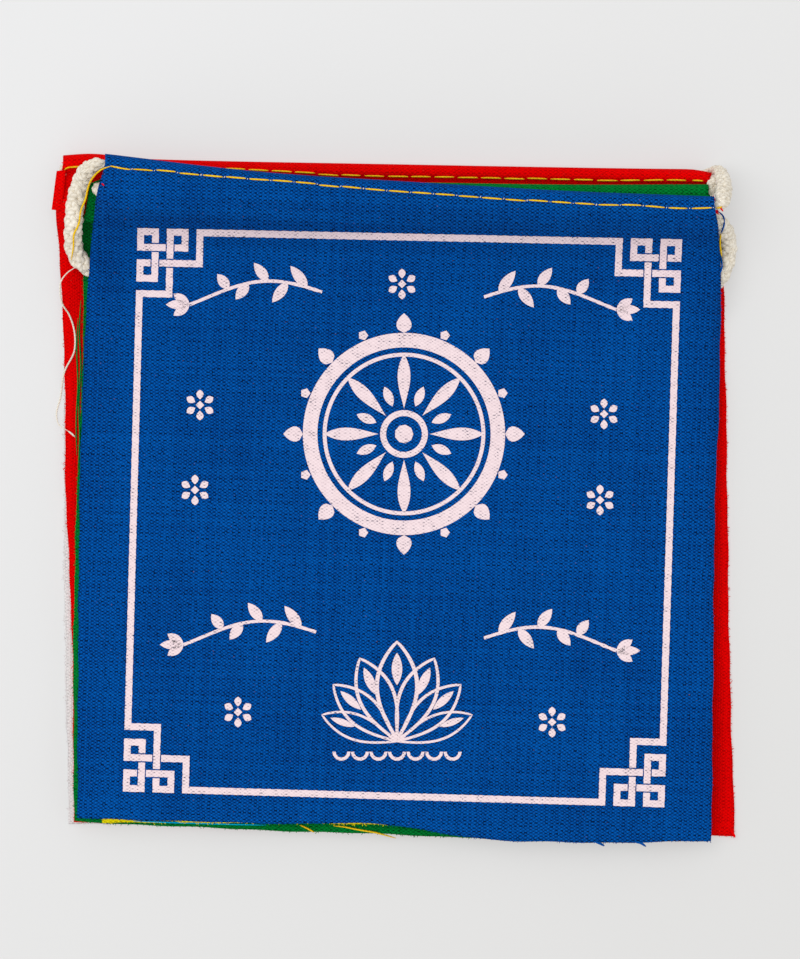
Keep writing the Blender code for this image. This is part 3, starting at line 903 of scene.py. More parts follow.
def yarn_material(name, dark, light, ply, roughness=0.85, sheen=0.0):
    """Spun thread or cord yarn: slanting plies along its length, with painted shade in the grooves between
    them and painted light on their crests, and soft fibres.
    """
    nodes = Nodes(name, roughness, sheen)
    around, along = nodes.uv()
    # Painted shade and light: the plies' slanting stripes are darker in their grooves and lighter on their
    # crests
    slant = nodes.math("ADD", nodes.math("MULTIPLY", around, 2.0), nodes.math("MULTIPLY", along, 1.0 / ply))
    twist = nodes.math("SINE", nodes.math("MULTIPLY", slant, 2 * math.pi))
    twist = nodes.math("MULTIPLY_ADD", twist, 0.5, 0.5)
    fibre = nodes.noise(nodes.place(), 2200.0, 3.0, 0.65)
    soil = nodes.noise(nodes.place(), 160.0, 2.0)
    tone_and_painted_light = nodes.math("ADD", nodes.math("MULTIPLY", twist, 0.35), nodes.math("MULTIPLY", fibre, 0.65))
    tone_and_painted_light = nodes.math("ADD", tone_and_painted_light, nodes.math("MULTIPLY", nodes.math("SUBTRACT", soil, 0.5), 0.6))
    nodes.colour(nodes.mix(nodes.range(tone_and_painted_light, 0.15, 0.85), dark, light))
    nodes.bump(nodes.math("ADD", nodes.math("MULTIPLY", twist, 0.5), fibre), 0.05, 0.6)
    return nodes.material


def paper_material():
    nodes = Nodes("pale_paper", 0.85)
    grain = nodes.noise(nodes.place(), 900.0, 2.0)
    across, away, _ = nodes.split(nodes.place())
    # Painted falloff: the floor is painted lighter towards the upper left, near the lamp, and darker towards
    # the lower right, with the paper's grain mixed in
    fade = nodes.range(nodes.math("SUBTRACT", across, away), -PAINTED_FALLOFF_HALF, PAINTED_FALLOFF_HALF)
    fade = nodes.math("ADD", fade, nodes.math("MULTIPLY", nodes.math("SUBTRACT", grain, 0.5), 0.1))
    colour = nodes.mix(fade, FLOOR_PAINTED_LIT, FLOOR_PAINTED_SHADE)
    nodes.colour(colour)
    # Painted light: the floor glows in its own colour, which lightens the shadows cast on it
    nodes.set(nodes.shader.inputs["Emission Color"], colour)
    nodes.shader.inputs["Emission Strength"].default_value = FLOOR_PAINTED_GLOW
    nodes.bump(grain, 0.02, 0.2)
    return nodes.material


# Meshes

def add_mesh(name, points, faces, material, uvs=None, flat_shaded=False):
    """A piece of the object from points in millimetres, riding on the root, with its material."""
    mesh = bpy.data.meshes.new(name)
    mesh.from_pydata((np.asarray(points) * MM).tolist(), [], faces)
    if uvs is not None:
        layer = mesh.uv_layers.new(name="cloth")
        corners = np.empty(len(mesh.loops), int)
        mesh.loops.foreach_get("vertex_index", corners)
        layer.data.foreach_set("uv", np.asarray(uvs)[corners].astype(np.float32).ravel())
    mesh.materials.append(material)
    if not flat_shaded:
        mesh.shade_smooth()
    piece = bpy.data.objects.new(name, mesh)
    bpy.context.scene.collection.objects.link(piece)
    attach(piece, "root")
    return piece


def grid_faces(rows, columns, first=0, closed=False):
    """The four-sided faces of a grid of points, whose columns may meet round a tube."""
    across = columns if closed else columns - 1
    i, j = np.meshgrid(np.arange(rows - 1), np.arange(across), indexing="ij")
    here = i * columns + j
    beside = i * columns + (j + 1) % columns
    faces = np.stack([here, beside, beside + columns, here + columns], axis=-1)
    return (faces.reshape(-1, 4) + first).tolist()


def run_of(points):
    """How far along a line each of its points is."""
    return np.concatenate([[0.0], np.cumsum(np.linalg.norm(np.diff(points, axis=0), axis=1))])


def even_line(points, step):
    """Points about a step apart on a smooth curve through a line of points."""
    points = np.asarray(points, float)
    places = run_of(points[:, :3])
    if len(points) < 3:
        wanted = np.linspace(0, places[-1], max(2, round(places[-1] / step) + 1))
        return np.stack([np.interp(wanted, places, points[:, k]) for k in range(points.shape[1])], axis=1)
    wanted = np.linspace(0, places[-1], max(3, round(places[-1] / step) + 1))
    return smoothed(points, places, wanted)


def smoothed(values, places, wanted):
    """Rows of numbers, known at these places along them, read smoothly at others."""
    slopes = np.gradient(values, places, axis=0)
    k = np.clip(np.searchsorted(places, wanted, side="right") - 1, 0, len(places) - 2)
    shape = (-1,) + (1,) * (values.ndim - 1)
    width = (places[k + 1] - places[k]).reshape(shape)
    t = (wanted - places[k]).reshape(shape) / width
    ends = values[k] * (1 + 2 * t) * (1 - t) ** 2 + values[k + 1] * t * t * (3 - 2 * t)
    return ends + width * t * (1 - t) * (slopes[k] * (1 - t) - slopes[k + 1] * t)


def tube_rings(path, radius, sides, flatten=1.0):
    """Rings of points round a path, kept from twisting, with flat rings for a flattened tube."""
    path = np.asarray(path, float)
    radius = np.broadcast_to(radius, len(path))
    ahead = np.gradient(path, axis=0)
    ahead /= np.linalg.norm(ahead, axis=1)[:, None]
    side = np.cross(ahead[0], (0.0, 0.0, 1.0))
    if np.linalg.norm(side) < 0.1:
        side = np.cross(ahead[0], (0.0, 1.0, 0.0))
    angles = np.linspace(0, 2 * math.pi, sides, endpoint=False)
    rings = []
    for point, way, size in zip(path, ahead, radius):
        side = side - way * np.dot(side, way)
        side /= np.linalg.norm(side)
        up = np.cross(side, way)
        ring = np.cos(angles)[:, None] * side + flatten * np.sin(angles)[:, None] * up
        rings.append(point + size * ring)
    return np.array(rings)


class Bundle:
    """Many tubes gathered into one mesh."""

    def __init__(self):
        self.points, self.faces, self.uvs = [], [], []
        self.count = 0

    def tube(self, path, radius, sides=6, flatten=1.0, tapered=False):
        path = np.asarray(path, float)
        radius = np.broadcast_to(radius, len(path)).astype(float)
        if tapered:
            share = np.linspace(0, 1, len(path))
            radius = radius * np.sqrt(np.clip(1 - (2 * share - 1) ** 4, 0.12, 1))
        rings = tube_rings(path, radius, sides, flatten)
        places = run_of(path)
        around = np.arange(sides) / sides
        uv = np.stack(np.broadcast_arrays(around[None, :], places[:, None]), axis=-1)
        rows = len(path)
        self.faces += grid_faces(rows, sides, self.count, closed=True)
        last = self.count + (rows - 1) * sides
        self.faces.append(list(range(self.count + sides - 1, self.count - 1, -1)))
        self.faces.append(list(range(last, last + sides)))
        self.points.append(rings.reshape(-1, 3))
        self.uvs.append(uv.reshape(-1, 2))
        self.count += rows * sides

    def made(self, name, material, slot):
        points, uvs = np.concatenate(self.points), np.concatenate(self.uvs)
        return add_mesh(name, points, self.faces, material, uvs)


# Cloth

def cloth_name(flag):
    """The name of a flag's cloth piece, which is that of its slot too."""
    return flag.name.replace("flag_", "") + "_cloth"


def thicken(piece):
    """Gives a sheet the cloth's thickness, half to each side."""
    thick = piece.modifiers.new("thickness", "SOLIDIFY")
    thick.thickness = THIN_CLOTH * MM
    thick.offset = 0.0


def weave_uv(flag_name, x, y):
    """Where a place of a flag's cloth lies in its weave, which leans as the flag does."""
    lean = math.radians(LEANS[flag_name])
    along = x * math.cos(lean) + y * math.sin(lean)
    up = -x * math.sin(lean) + y * math.cos(lean)
    return np.stack([along / UV_SIDE + 0.5, up / UV_SIDE + 0.5], axis=-1)


def hump(away, width):
    """A smooth hump, 1 at its middle, for places so far away from it."""
    return np.exp(-((away / width) ** 2))


def uneven(phase, x, y):
    """Slow, uneven waves between -1 and 1."""
    first = np.sin(x / 9.7 + 1.7 * phase) * np.sin(y / 13.1 + 2.3 * phase)
    second = np.sin(x / 23.0 - y / 19.0 + 4.1 * phase)
    return 0.5 * first + 0.5 * second


def creased(x, y):
    """The soft ridges and troughs of the top flag."""
    height = np.zeros_like(x)
    for crease in CREASES:
        (ax, ay), (bx, by) = at_pixel(*crease.start), at_pixel(*crease.end)
        length = math.hypot(bx - ax, by - ay)
        share = np.clip(((x - ax) * (bx - ax) + (y - ay) * (by - ay)) / length**2, 0, 1)
        away = np.hypot(x - ax - share * (bx - ax), y - ay - share * (by - ay))
        height += crease.height * hump(away, crease.width)
    return height


def fine_sheet(flag, grid, step):
    """A flag's sheet with close rows and columns.

    It gives the points, the columns' shares across, the rows' places from the fold, and the face's first row.
    """
    columns_at = np.array(COLUMN_AT)
    middle = grid[len(columns_at) // 2]
    rows_at = run_of(middle)
    count = round(WIDE / step)
    columns = np.linspace(0, 1, count + 1)
    turned, folded = UNDER_ROWS, UNDER_ROWS + FOLD_ROWS
    parts = [
        np.linspace(rows_at[0], rows_at[turned], max(4, round(rows_at[turned] / step)) + 1)[:-1],
        np.linspace(rows_at[turned], rows_at[folded], HEM_ROWS + 1)[:-1],
        np.arange(rows_at[folded], rows_at[folded] + CLOSE_REACH, FINE_STEP),
        np.linspace(
            rows_at[folded] + CLOSE_REACH, rows_at[-1],
            round((rows_at[-1] - rows_at[folded] - CLOSE_REACH) / step) + 1,
        ),
    ]
    wanted = np.concatenate(parts)
    face_from = len(parts[0]) + len(parts[1])
    rows = smoothed(np.swapaxes(grid, 0, 1), rows_at, wanted)
    fine = smoothed(np.swapaxes(rows, 0, 1), columns_at, columns)

    hem_sides = grid[:, : folded + 1, 0]
    fine[:, :face_from, 0] = np.clip(fine[:, :face_from, 0], hem_sides.min(), hem_sides.max())
    down = HEM_DOWN + smoothed_downs(flag, grid, columns, rows_at, wanted[face_from:])
    x, y = place(flag, columns[:, None], down)
    fine[:, face_from:, 0] = x
    fine[:, face_from:, 1] = y
    from_fold = wanted - (rows_at[turned] + rows_at[folded]) / 2
    return fine, columns, from_fold, face_from


def smoothed_downs(flag, grid, columns, rows_at, wanted):
    """How far each fine row of the face is below the hem's top, at each fine column."""
    face = grid[:, UNDER_ROWS + FOLD_ROWS :]
    fold = smooth(np.array(COLUMN_AT), FOLD_AT, flag.fold)
    downs = fold[:, None] - face[:, :, 1] - HEM_DOWN
    close = smoothed(downs.T, rows_at[UNDER_ROWS + FOLD_ROWS :], wanted).T
    return smoothed(close, np.array(COLUMN_AT), columns)


def lift_off(fine, below, face_from):
    """Raises the face smoothly where it would sink into what it lies on."""
    needed = np.array([below.at(x, y)[0] for x, y in fine[:, face_from:, :2].reshape(-1, 2)])
    needed = needed.reshape(fine.shape[0], -1) + THIN_CLOTH / 2 + LEAST_GAP
    short = np.maximum(needed - fine[:, face_from:, 2], 0.0)
    for axis in (0, 1):
        spread = [np.roll(short, k, axis) for k in range(-LIFT_REACH, LIFT_REACH + 1)]
        highest = np.max(spread, axis=0)
        short = np.mean([np.roll(highest, k, axis) for k in range(-LIFT_REACH, LIFT_REACH + 1)], axis=0)
    fine[:, face_from:, 2] += short


def make_flag(flag, grid, step, material, phase, below):
    """One flag as thin woven cloth, the piece and its points: hem, face, worn edges and creases."""
    fine, columns, from_fold, face_from = fine_sheet(flag, grid, step)
    x, y = fine[..., 0].copy(), fine[..., 1].copy()
    edge = np.abs(2 * columns - 1)[:, None] ** 12
    face = np.zeros(fine.shape[1])
    face[face_from:] = 1.0
    foot = np.clip((from_fold - from_fold[-1] + FOOT_REACH) / FOOT_REACH, 0, 1) ** 2 * face
    fine[..., 0] += edge * EDGE_WANDER * (np.sin(y / 1.9 + phase) + np.sin(y / 4.7 + 2 * phase)) / 2
    fine[..., 1] += foot * EDGE_WANDER * (np.sin(x / 2.3 + phase) + np.sin(x / 5.9 + 3 * phase)) / 2
    rise = np.clip((from_fold - HEM_DOWN) / SLACK_REACH, 0, 1) * face
    fine[..., 2] += rise * (edge * EDGE_CURL + foot * EDGE_CURL) * uneven(phase, 3.1 * x, 3.1 * y)
    fine[..., 2] += rise * SLACK * uneven(phase + 1.0, x, y)
    if flag.name == "flag_blue":
        fine[..., 2] += rise * creased(x, y)
    if flag.name in SEAM_DOWN:
        dip = hump(from_fold - SEAM_DOWN[flag.name] - FOLD_TO_TOP, SEAM_WIDTH) * face
        pucker = 1.0 + SEAM_PUCKER * np.sin(2 * math.pi * x / STITCH_PITCH + phase)
        fine[..., 2] -= SEAM_DEPTH * dip * pucker
    if flag.name == "flag_red":
        trough = hump(from_fold - RED_TROUGH_DOWN, RED_TROUGH_WIDTH)
        fine[..., 2] -= RED_TROUGH_DEPTH * trough * face
        last = np.clip((columns[:, None] - 1 + RED_END_SHARE) / RED_END_SHARE, 0, 1) ** 2
        end = last * hump(from_fold, RED_END_DOWN)
        fine[..., 0] += RED_END_REACH * end
        fine[..., 1] -= RED_END_DROP * end
        fine[..., 1] += RED_BULGE * hump(x - RED_BULGE_AT, RED_BULGE_WIDTH) * hump(from_fold, RED_BULGE_DOWN)
    lift_off(fine, below, face_from)
    fold_y = smooth(columns, FOLD_AT, flag.fold)[:, None]
    cloth_y = np.where(face[None, :] > 0, y, fold_y - HEM_DOWN - (from_fold - from_fold[face_from])[None, :])
    uvs = weave_uv(flag.name, x, cloth_y)
    count, rows = fine.shape[:2]
    piece = add_mesh(
        cloth_name(flag),
        fine.reshape(-1, 3),
        [corners[::-1] for corners in grid_faces(count, rows)],
        material,
        uvs.reshape(-1, 2),
    )
    thicken(piece)
    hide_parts(flag.name)
    return piece, fine


class Seat:
    """What things are laid on: the topmost of some surfaces, or the floor."""

    def __init__(self):
        self.trees = []

    def add(self, points, faces, lift):
        self.trees.append((BVHTree.FromPolygons(points.tolist(), faces), lift))

    def at(self, x, y):
        """The height and the normal of what is on top at a place."""
        best, normal = 0.0, Vector((0.0, 0.0, 1.0))
        for tree, lift in self.trees:
            hit, way, _, _ = tree.ray_cast(Vector((x, y, 60.0)), Vector((0.0, 0.0, -1.0)))
            if hit is not None:
                way = way if way.z > 0 else -way
                height = hit.z + lift / max(way.z, STEEPEST)
                if height > best:
                    best, normal = height, way
        return best, normal


def laid_on(seat, places, radius):
    """Points of a thread that lies on what is below it, without dipping sharply."""
    heights = np.array([seat.at(x, y)[0] for x, y in places])
    reach = 2
    padded = np.pad(heights, reach, mode="edge")
    highest = np.max([padded[k : k + len(heights)] for k in range(2 * reach + 1)], axis=0)
    padded = np.pad(highest, reach, mode="edge")
    eased = np.mean([padded[k : k + len(heights)] for k in range(2 * reach + 1)], axis=0)
    settled = np.maximum(eased, heights)
    steps = np.linalg.norm(np.diff(places, axis=0), axis=1)
    for k in range(1, len(settled)):
        settled[k] = max(settled[k], settled[k - 1] - THREAD_DROOP * steps[k - 1])
    for k in range(len(settled) - 1, 0, -1):
        settled[k - 1] = max(settled[k - 1], settled[k] - THREAD_DROOP * steps[k - 1])
    return np.column_stack([places, settled + radius])


# The string

def rounded(line):
    """A close line with its sharpest bends eased."""
    reach = ROUNDING_REACH
    padded = np.concatenate([np.repeat(line[:1], reach, 0), line, np.repeat(line[-1:], reach, 0)])
    weights = np.hanning(2 * reach + 3)[1:-1]
    weights /= weights.sum()
    return np.stack([np.convolve(padded[:, k], weights, "valid") for k in range(3)], axis=1)


def braid(route):
    """The string's strands over and under each other, its core, and its path with how thick it is there."""
    near = even_line(route, 0.25)
    places = run_of(near[:, :3])
    near[:, :3] = rounded(near[:, :3])
    near_outside = np.abs(near[:, 0]) > LOOPS_FROM
    speed = np.where(near_outside, 1.0 / BRAID_STEP, 1.0 / HIDDEN_STEP)
    ticks = np.concatenate([[0.0], np.cumsum(speed[1:] * np.diff(places))])
    wanted = np.interp(np.linspace(0, ticks[-1], round(ticks[-1]) + 1), ticks, places)
    path = np.stack([np.interp(wanted, places, near[:, k]) for k in range(4)], axis=1)
    radius = path[:, 3] * BRAID_SHARE
    ahead = np.gradient(path[:, :3], axis=0)
    ahead /= np.linalg.norm(ahead, axis=1)[:, None]
    side = np.cross(ahead[0], (0.0, 0.0, 1.0))
    sides, ups = [], []
    for way in ahead:
        side = side - way * np.dot(side, way)
        side /= np.linalg.norm(side)
        sides.append(side)
        ups.append(np.cross(side, way))
    sides, ups = np.array(sides), np.array(ups)
    turn = 2 * math.pi * wanted / BRAID_LAY
    bundle = Bundle()
    for way in (1, -1):
        for k in range(STRANDS):
            angle = way * turn + 2 * math.pi * k / STRANDS
            out = radius * (STRAND_OUT + way * STRAND_WEAVE * np.cos(4 * turn))
            strand = path[:, :3] + out[:, None] * (
                np.cos(angle)[:, None] * sides + np.sin(angle)[:, None] * ups
            )
            bundle.tube(strand, radius * STRAND_SIZE, STRAND_SIDES)
    core = Bundle()
    core.tube(path[:, :3], radius * 0.5, 6)
    return bundle, core, path


def make_string(route):
    bundle, core, path = braid(route)
    bundle.points += core.points
    bundle.uvs += core.uvs
    bundle.faces += [[corner + bundle.count for corner in face] for face in core.faces]
    material = yarn_material("cotton_braid", CORD_DARK, CORD_LIGHT, 0.9, 0.9, 0.15)
    piece = bundle.made("braided_string", material, "cotton_cord")
    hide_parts("string")
    return path


# The print

class Ink:
    """The printed shapes, each a strip between two lines of places, gathered into one mesh on the cloth."""

    def __init__(self, seat):
        self.seat = seat
        self.points, self.faces, self.places = [], [], []
        self.strips = 0

    def strip(self, left, right):
        """Fills the cloth between two lines with the same number of places."""
        left, right = np.asarray(left, float), np.asarray(right, float)
        wide = np.linalg.norm(left - right, axis=1).max()
        across = max(1, math.ceil(wide / INK_STEP))
        shares = np.linspace(0, 1, across + 1)[None, :, None]
        grid = left[:, None, :] * (1 - shares) + right[:, None, :] * shares
        first = len(self.points)
        self.strips += 1
        lift = INK_LIFT + INK_LAYER * self.strips
        for x, y in grid.reshape(-1, 2):
            height, normal = self.seat.at(x, y)
            self.points.append((x, y, height + lift / max(normal.z, STEEPEST)))
            self.places.append((x, y))
        self.faces += grid_faces(len(left), across + 1, first)

    def bar(self, corners, width, closed=False):
        """A line of even width with mitred corners."""
        corners = np.asarray(corners, float)
        if closed:
            corners = np.concatenate([corners, corners[:1]])
        ways = np.diff(corners, axis=0)
        ways /= np.linalg.norm(ways, axis=1)[:, None]
        before = np.concatenate([ways[-1:] if closed else ways[:1], ways])
        after = np.concatenate([ways, ways[:1] if closed else ways[-1:]])
        normals = before + after
        normals = np.stack([-normals[:, 1], normals[:, 0]], axis=1)
        normals /= np.linalg.norm(normals, axis=1)[:, None]
        stretch = 1 / np.maximum(0.4, normals[:, 0] * -after[:, 1] + normals[:, 1] * after[:, 0])
        offset = normals * (stretch * width / 2)[:, None]
        for k in range(len(corners) - 1):
            count = max(1, math.ceil(np.linalg.norm(corners[k + 1] - corners[k]) / INK_STEP))
            shares = np.linspace(0, 1, count + 1)[:, None]
            left = (corners[k] + offset[k]) * (1 - shares) + (corners[k + 1] + offset[k + 1]) * shares
            right = (corners[k] - offset[k]) * (1 - shares) + (corners[k + 1] - offset[k + 1]) * shares
            wobble = INK_WOBBLE * np.sin(left.sum(axis=1) * 5.3)[:, None] * (np.abs(2 * shares - 1) < 0.95)
            self.strip(left + wobble, right - wobble)

    def arc(self, centre, radius, start, end, width):
        """A band round a centre from one angle to another, in degrees."""
        count = max(3, math.ceil(abs(math.radians(end - start)) * radius / INK_STEP))
        angles = np.radians(np.linspace(start, end, count + 1))
        ways = np.stack([np.cos(angles), np.sin(angles)], axis=1)
        centre = np.asarray(centre, float)
        self.strip(centre + ways * (radius - width / 2), centre + ways * (radius + width / 2))

    def leaf(self, root, angle, length, width, belly=0.45, hollow=0.0):
        """A pointed leaf or petal from its root, or its outline where hollow gives the line's width."""
        turn = math.radians(angle)
        ahead = np.array([math.cos(turn), math.sin(turn)])
        side = np.array([-ahead[1], ahead[0]])
        shares = np.linspace(0, 1, max(6, math.ceil(length / INK_STEP)) + 1)
        bulge = np.sin(math.pi * shares ** (math.log(0.5) / math.log(belly))) ** 0.8
        middle = np.asarray(root, float) + shares[:, None] * length * ahead
        half = (bulge * width / 2)[:, None] * side
        if not hollow:
            self.strip(middle - half, middle + half)
            return
        inner = np.maximum(np.linalg.norm(half, axis=1) - hollow, 0.0)[:, None] * side
        self.strip(middle - half, middle - inner)
        self.strip(middle + inner, middle + half)


def corner_places(corner):
    """The printed corner knot's own axes: a function from its columns and rows to places."""
    origin = np.array(at_pixel(*corner.outer))
    across = np.array(at_pixel(*corner.across)) - origin
    down = np.array(at_pixel(*corner.down)) - origin
    across *= KNOT_ACROSS / np.linalg.norm(across)
    down *= KNOT_DOWN / np.linalg.norm(down)
    return lambda column, row: origin + column * across + row * down


def print_frame(ink):
    """The frame line, whose stepped corners run into a square knot of three loops."""
    gap = KNOT_GAP
    corners = {corner.name: corner_places(corner) for corner in CORNERS}
    start = {}
    for corner in CORNERS:
        spot = corners[corner.name]
        turned = (lambda c, r, spot=spot: spot(r, c)) if corner.turned else spot
        first = [turned(1, 1 - gap), turned(1, 0), turned(0, 0), turned(0, 1), turned(2 - gap, 1)]
        second = [turned(2 + gap, 1), turned(3, 1), turned(3, 0), turned(2, 0), turned(2, 2 - gap)]
        third = [turned(1 - gap, 2), turned(0, 2), turned(0, 3), turned(1, 3), turned(1, 1 + gap)]
        for line in (first, second, third):
            ink.bar(line, FRAME_LINE)
        long, short = 1 + gap, 2 + gap
        across, down = (short, long) if corner.turned else (long, short)
        start[corner.name] = (spot(across, 2), spot(2, down))
    for one, other in (("top_left", "top_right"), ("bottom_left", "bottom_right")):
        a, b = corners[one], corners[other]
        ink.bar([start[one][0], a(4, 2), a(4, 0), b(4, 0), b(4, 2), start[other][0]], FRAME_LINE)
    for one, other in (("top_left", "bottom_left"), ("top_right", "bottom_right")):
        a, b = corners[one], corners[other]
        ink.bar([start[one][1], a(2, 4), a(0, 4), b(0, 4), b(2, 4), start[other][1]], FRAME_LINE)


def ring_places(centre, radius, count, start=90.0):
    """Places and angles evenly round a centre."""
    for k in range(count):
        angle = start + 360.0 * k / count
        turn = math.radians(angle)
        yield (centre[0] + radius * math.cos(turn), centre[1] + radius * math.sin(turn)), angle


def print_wheel(ink, centre):
    """A wheel of eight spokes, with petals round its hub and buds round its rim."""
    ink.arc(centre, WHEEL_RADIUS, 0, 360, 3.4)
    ink.arc(centre, WHEEL_RADIUS - 3.4, 0, 360, 0.9)
    ink.arc(centre, 4.9, 0, 360, 1.4)
    ink.arc(centre, 1.1, 0, 360, 2.2)
    for (x, y), angle in ring_places(centre, 6.0, 8):
        ink.leaf((x, y), angle, WHEEL_RADIUS - 9.4, 3.0, 0.6)
    for (x, y), angle in ring_places(centre, 7.0, 8, 112.5):
        ink.leaf((x, y), angle, 5.0, 2.2, 0.5)
    for (x, y), angle in ring_places(centre, WHEEL_RADIUS + 1.7, 8):
        ink.leaf((x, y), angle, 4.6, 3.6, 0.4)
    for (x, y), _ in ring_places(centre, WHEEL_RADIUS + 3.0, 8, 112.5):
        ink.arc((x, y), 0.6, 0, 360, 1.2)


def print_lotus(ink, root, size):
    """An open lotus seen from the side, on a low row of scallops."""
    for angle, length, width in LOTUS_PETALS:
        ink.leaf(root, angle, length * size, width * size, 0.55, 0.09 * size * width)
        ink.leaf(
            (root[0] + 0.56 * length * size * math.cos(math.radians(angle)),
             root[1] + 0.56 * length * size * math.sin(math.radians(angle))),
            angle, 0.32 * length * size, 0.24 * width * size, 0.5,
        )
    for k in range(-3, 4):
        spot = (root[0] + 3.1 * k * size, root[1] - 1.6 * size)
        ink.arc(spot, 1.25 * size, 180, 360, 0.55 * size)


def print_sprig(ink, root, way):
    """A curved stem with leaves on both sides and a bud at its end."""
    bend = np.linspace(0, 1, 28)
    x = root[0] + way * SPRIG_WIDE * bend
    y = root[1] + 3.2 * np.sin(math.pi * 1.15 * bend) - 1.5 * bend
    stem = np.stack([x, y], axis=1)
    ink.bar(stem, 0.75)
    for k, share in enumerate((0.12, 0.27, 0.42, 0.57, 0.72)):
        at = stem[round(share * 27)]
        side = 1 if k % 2 == 0 else -1
        lean = 52 * side
        angle = lean if way > 0 else 180 - lean
        ink.leaf(at, angle, 6.4 - 0.5 * k, 2.5, 0.45)
    end = stem[-1]
    for lean in (-34, 0, 34):
        ink.leaf(end, lean if way > 0 else 180 - lean, 5.6 - abs(lean) * 0.03, 2.2, 0.5)


def make_print(seat):
    """The frame with its corner knots, and a design of a wheel, sprigs and a lotus inside it."""
    ink = Ink(seat)
    print_frame(ink)
    print_wheel(ink, at_pixel(*WHEEL_AT))
    print_lotus(ink, at_pixel(*LOTUS_AT), LOTUS_SIZE)
    for root, way in SPRIGS:
        print_sprig(ink, at_pixel(*root), way)
    for spot in ROSETTES:
        centre = at_pixel(*spot)
        ink.arc(centre, 0.5, 0, 360, 1.0)
        for (x, y), angle in ring_places(centre, 1.3, 6):
            ink.leaf((x, y), angle, 2.3, 1.7, 0.55)
    places = np.array(ink.places)
    uvs = weave_uv("flag_blue", places[:, 0], places[:, 1])
    return add_mesh("printed_design", np.array(ink.points), ink.faces, ink_material(), uvs)


# Sewing, frays and loose threads

def make_seam(name, seat, line, material, knots, slot):
    """A run of straight stitches, a little sunk into the hem, with the lower thread showing between them."""
    line = even_line([at_pixel(*spot) for spot in line], 0.1)
    places = run_of(line)
    bundle, lower = Bundle(), Bundle()
    random = np.random.default_rng(3)
    start = 0.0
    while start + STITCH_PITCH < places[-1]:
        length = STITCH_PITCH * STITCH_SHARE + random.normal(0, 0.12)
        wanted = np.linspace(start, start + length, 12)
        x, y = (np.interp(wanted, places, line[:, k]) for k in (0, 1))
        y = y + random.normal(0, 0.06)
        arch = np.sin(np.linspace(0, math.pi, 12)) ** 0.5
        z = np.array([seat.at(a, b)[0] for a, b in zip(x, y)])
        z = z + (arch - 0.55) * 2 * STITCH_RADIUS
        bundle.tube(np.stack([x, y, z], axis=1), STITCH_RADIUS, 6, tapered=True)
        middle = start + length + (STITCH_PITCH - length) / 2
        mx, my = (float(np.interp(middle, places, line[:, k])) for k in (0, 1))
        mz = seat.at(mx, my)[0]
        around = np.linspace(-1, 1, 5) * random.uniform(0.08, 0.24)
        knot = np.stack([mx + 0.5 * around, my + around, mz + 0.2 - 1.2 * around**2], axis=1)
        lower.tube(knot, random.uniform(0.08, 0.16), 5, tapered=True)
        start += STITCH_PITCH
    made = [bundle.made(name + "_stitches", material, slot)]
    if knots is not None:
        made.append(lower.made(name + "_lower_thread", knots, slot))
    return made


def frayed(name, edges, material, slot, seed, longest):
    """Short fibre ends that stick out of raw edges."""
    random = np.random.default_rng(seed)
    bundle = Bundle()
    for line, outward in edges:
        places = run_of(line)
        for _ in range(int(places[-1] * FRAYS_PER_MM)):
            at = random.uniform(0, places[-1])
            root = np.array([np.interp(at, places, line[:, k]) for k in range(3)])
            along = np.array([-outward[1], outward[0], 0.0])
            length = 0.12 + longest * random.uniform() ** 4
            lean = random.normal(0, 0.5)
            curl = random.normal(0, 0.35)
            droop = random.normal(0, 0.12)
            shares = np.linspace(-0.3, 1, 4)[:, None]
            path = root + shares * length * (np.array(outward) + lean * along)
            path = path + shares**2 * length * (curl * along + np.array([0.0, 0.0, droop]))
            bundle.tube(path, random.uniform(0.05, 0.1), 3)
    return bundle.made(name, material, slot)


def loose_thread(seat, thread, material):
    """One thread that lies where it fell."""
    places = even_line([at_pixel(*spot) for spot in thread.line], 0.45)
    bundle = Bundle()
    bundle.tube(laid_on(seat, places, thread.radius), thread.radius, 6, tapered=True)
    return bundle.made(thread.name, material, thread.flag.replace("flag_", "") + "_cloth")


def make_scrap(name, corners, heights, material, flag_name, seat=None):
    """A small stretch of a flag's own hem beyond its side, laid on a seat where it is given one."""
    count = 9
    s, t = np.meshgrid(np.linspace(0, 1, count), np.linspace(0, 1, 3 * count), indexing="xy")
    a, b, c, d = (np.array(at_pixel(*corner)) for corner in corners)
    top = a + (b - a) * s[..., None]
    bottom = d + (c - d) * s[..., None]
    grid = top * (1 - t[..., None]) + bottom * t[..., None]
    low, high = heights
    z = low + (high - low) * s + 0.25 * np.sin(3 * t + 2 * s)
    if seat is not None:
        under = np.array([[seat.at(x, y)[0] for x, y in row] for row in grid])
        z = np.maximum(z, under + THIN_CLOTH / 2 + LEAST_GAP)
    points = np.concatenate([grid, z[..., None]], axis=-1)
    uvs = weave_uv(flag_name, points[..., 0], points[..., 1] + 12.0)
    faces = [face[::-1] for face in grid_faces(3 * count, count)]
    piece = add_mesh(name, points.reshape(-1, 3), faces, material, uvs.reshape(-1, 2))
    thicken(piece)
    return piece


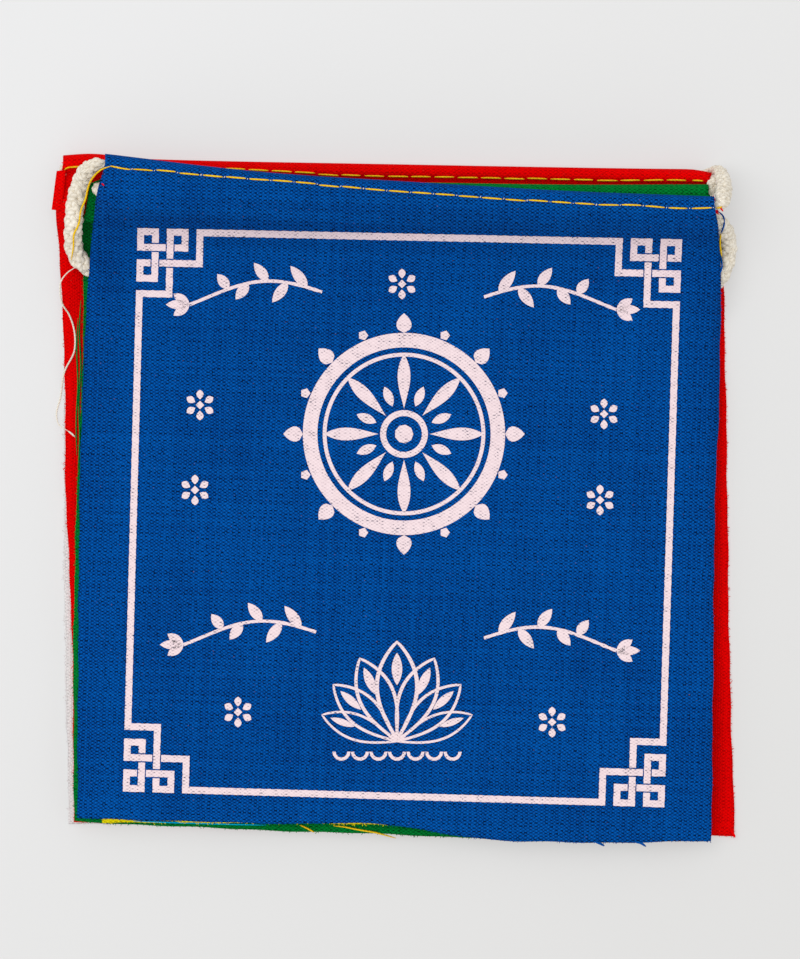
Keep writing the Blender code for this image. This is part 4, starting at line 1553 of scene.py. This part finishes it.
def main():
    make_camera()
    make_light()
    make_floor()
    sheets, route = laid_flags()
    path = make_string(route)

    cloths = {name: cloth_material(name, *shades) for name, shades in SHADES.items()}
    seat = Seat()
    pieces, fine, own_seat = {}, {}, {}
    for number, flag in enumerate(FLAGS):
        colour = cloth_name(flag)
        step = FINE_STEP if flag.name == "flag_blue" else COARSE_STEP
        if flag.name == "flag_blue":
            for stretch in (path[:STRING_END], path[-STRING_END:]):
                rings = tube_rings(stretch[:, :3], stretch[:, 3] * BRAID_SHARE, 8)
                seat.add(rings.reshape(-1, 3), grid_faces(len(stretch), 8, closed=True), 0.0)
        pieces[flag.name], fine[flag.name] = make_flag(
            flag, sheets[flag.name], step, cloths[colour], 1.0 + number, seat
        )
        points = fine[flag.name]
        seat.add(points.reshape(-1, 3), grid_faces(*points.shape[:2]), THIN_CLOTH / 2)
        own_seat[flag.name] = Seat()
        own_seat[flag.name].add(points.reshape(-1, 3), grid_faces(*points.shape[:2]), THIN_CLOTH / 2)
    blue_seat = own_seat["flag_blue"]
    rings = tube_rings(path[:, :3], path[:, 3] * BRAID_SHARE, 8)
    seat.add(rings.reshape(-1, 3), grid_faces(len(path), 8, closed=True), 0.0)

    extras = {flag.name: [] for flag in FLAGS}
    extras["flag_blue"].append(make_print(blue_seat))
    golden = yarn_material("golden_thread", GOLD_DARK, GOLD_LIGHT, 0.8)
    pale = yarn_material("pale_thread", CORD_DARK, CORD_LIGHT, 0.8)
    extras["flag_blue"] += make_seam("blue_hem", seat, BLUE_SEAM, golden, pale, "blue_cloth")
    for name, line in (("red_hem_left", RED_SEAM_LEFT), ("red_hem", RED_SEAM)):
        extras["flag_red"] += make_seam(name, own_seat["flag_red"], line, golden, None, "red_cloth")

    yarns = {}
    for flag in FLAGS:
        colour = cloth_name(flag)
        _, middle, light = SHADES[colour]
        yarns[colour] = yarn_material(colour + "_yarn", middle, light, 0.7)
        points = fine[flag.name]
        face_from = len(points[0]) - round(len(points[0]) * 0.9)
        edges = [
            (points[0, face_from:], (-1.0, 0.0, 0.0)),
            (points[-1, face_from:], (1.0, 0.0, 0.0)),
            (points[:, -1], (0.0, -1.0, 0.0)),
        ]
        longest = LONGEST_FRAY[flag.name]
        fray = frayed(colour + "_frays", edges, yarns[colour], colour, len(flag.name), longest)
        extras[flag.name].append(fray)

    cyan = yarn_material("cyan_thread", CYAN_DARK, CYAN_LIGHT, 0.7)
    kinds = {"golden": golden, "pale": pale, "cyan": cyan, **yarns}
    for thread in THREADS:
        extras[thread.flag].append(loose_thread(seat, thread, kinds[thread.kind]))

    red = make_scrap("red_hem_end", RED_FLAP, RED_FLAP_HEIGHTS, cloths["red_cloth"], "flag_red")
    green = make_scrap(
        "green_hem_end",
        GREEN_CORNER,
        GREEN_CORNER_HEIGHTS,
        cloths["green_cloth"],
        "flag_green",
        own_seat["flag_red"],
    )
    extras["flag_red"].append(red)
    extras["flag_green"].append(green)


main()
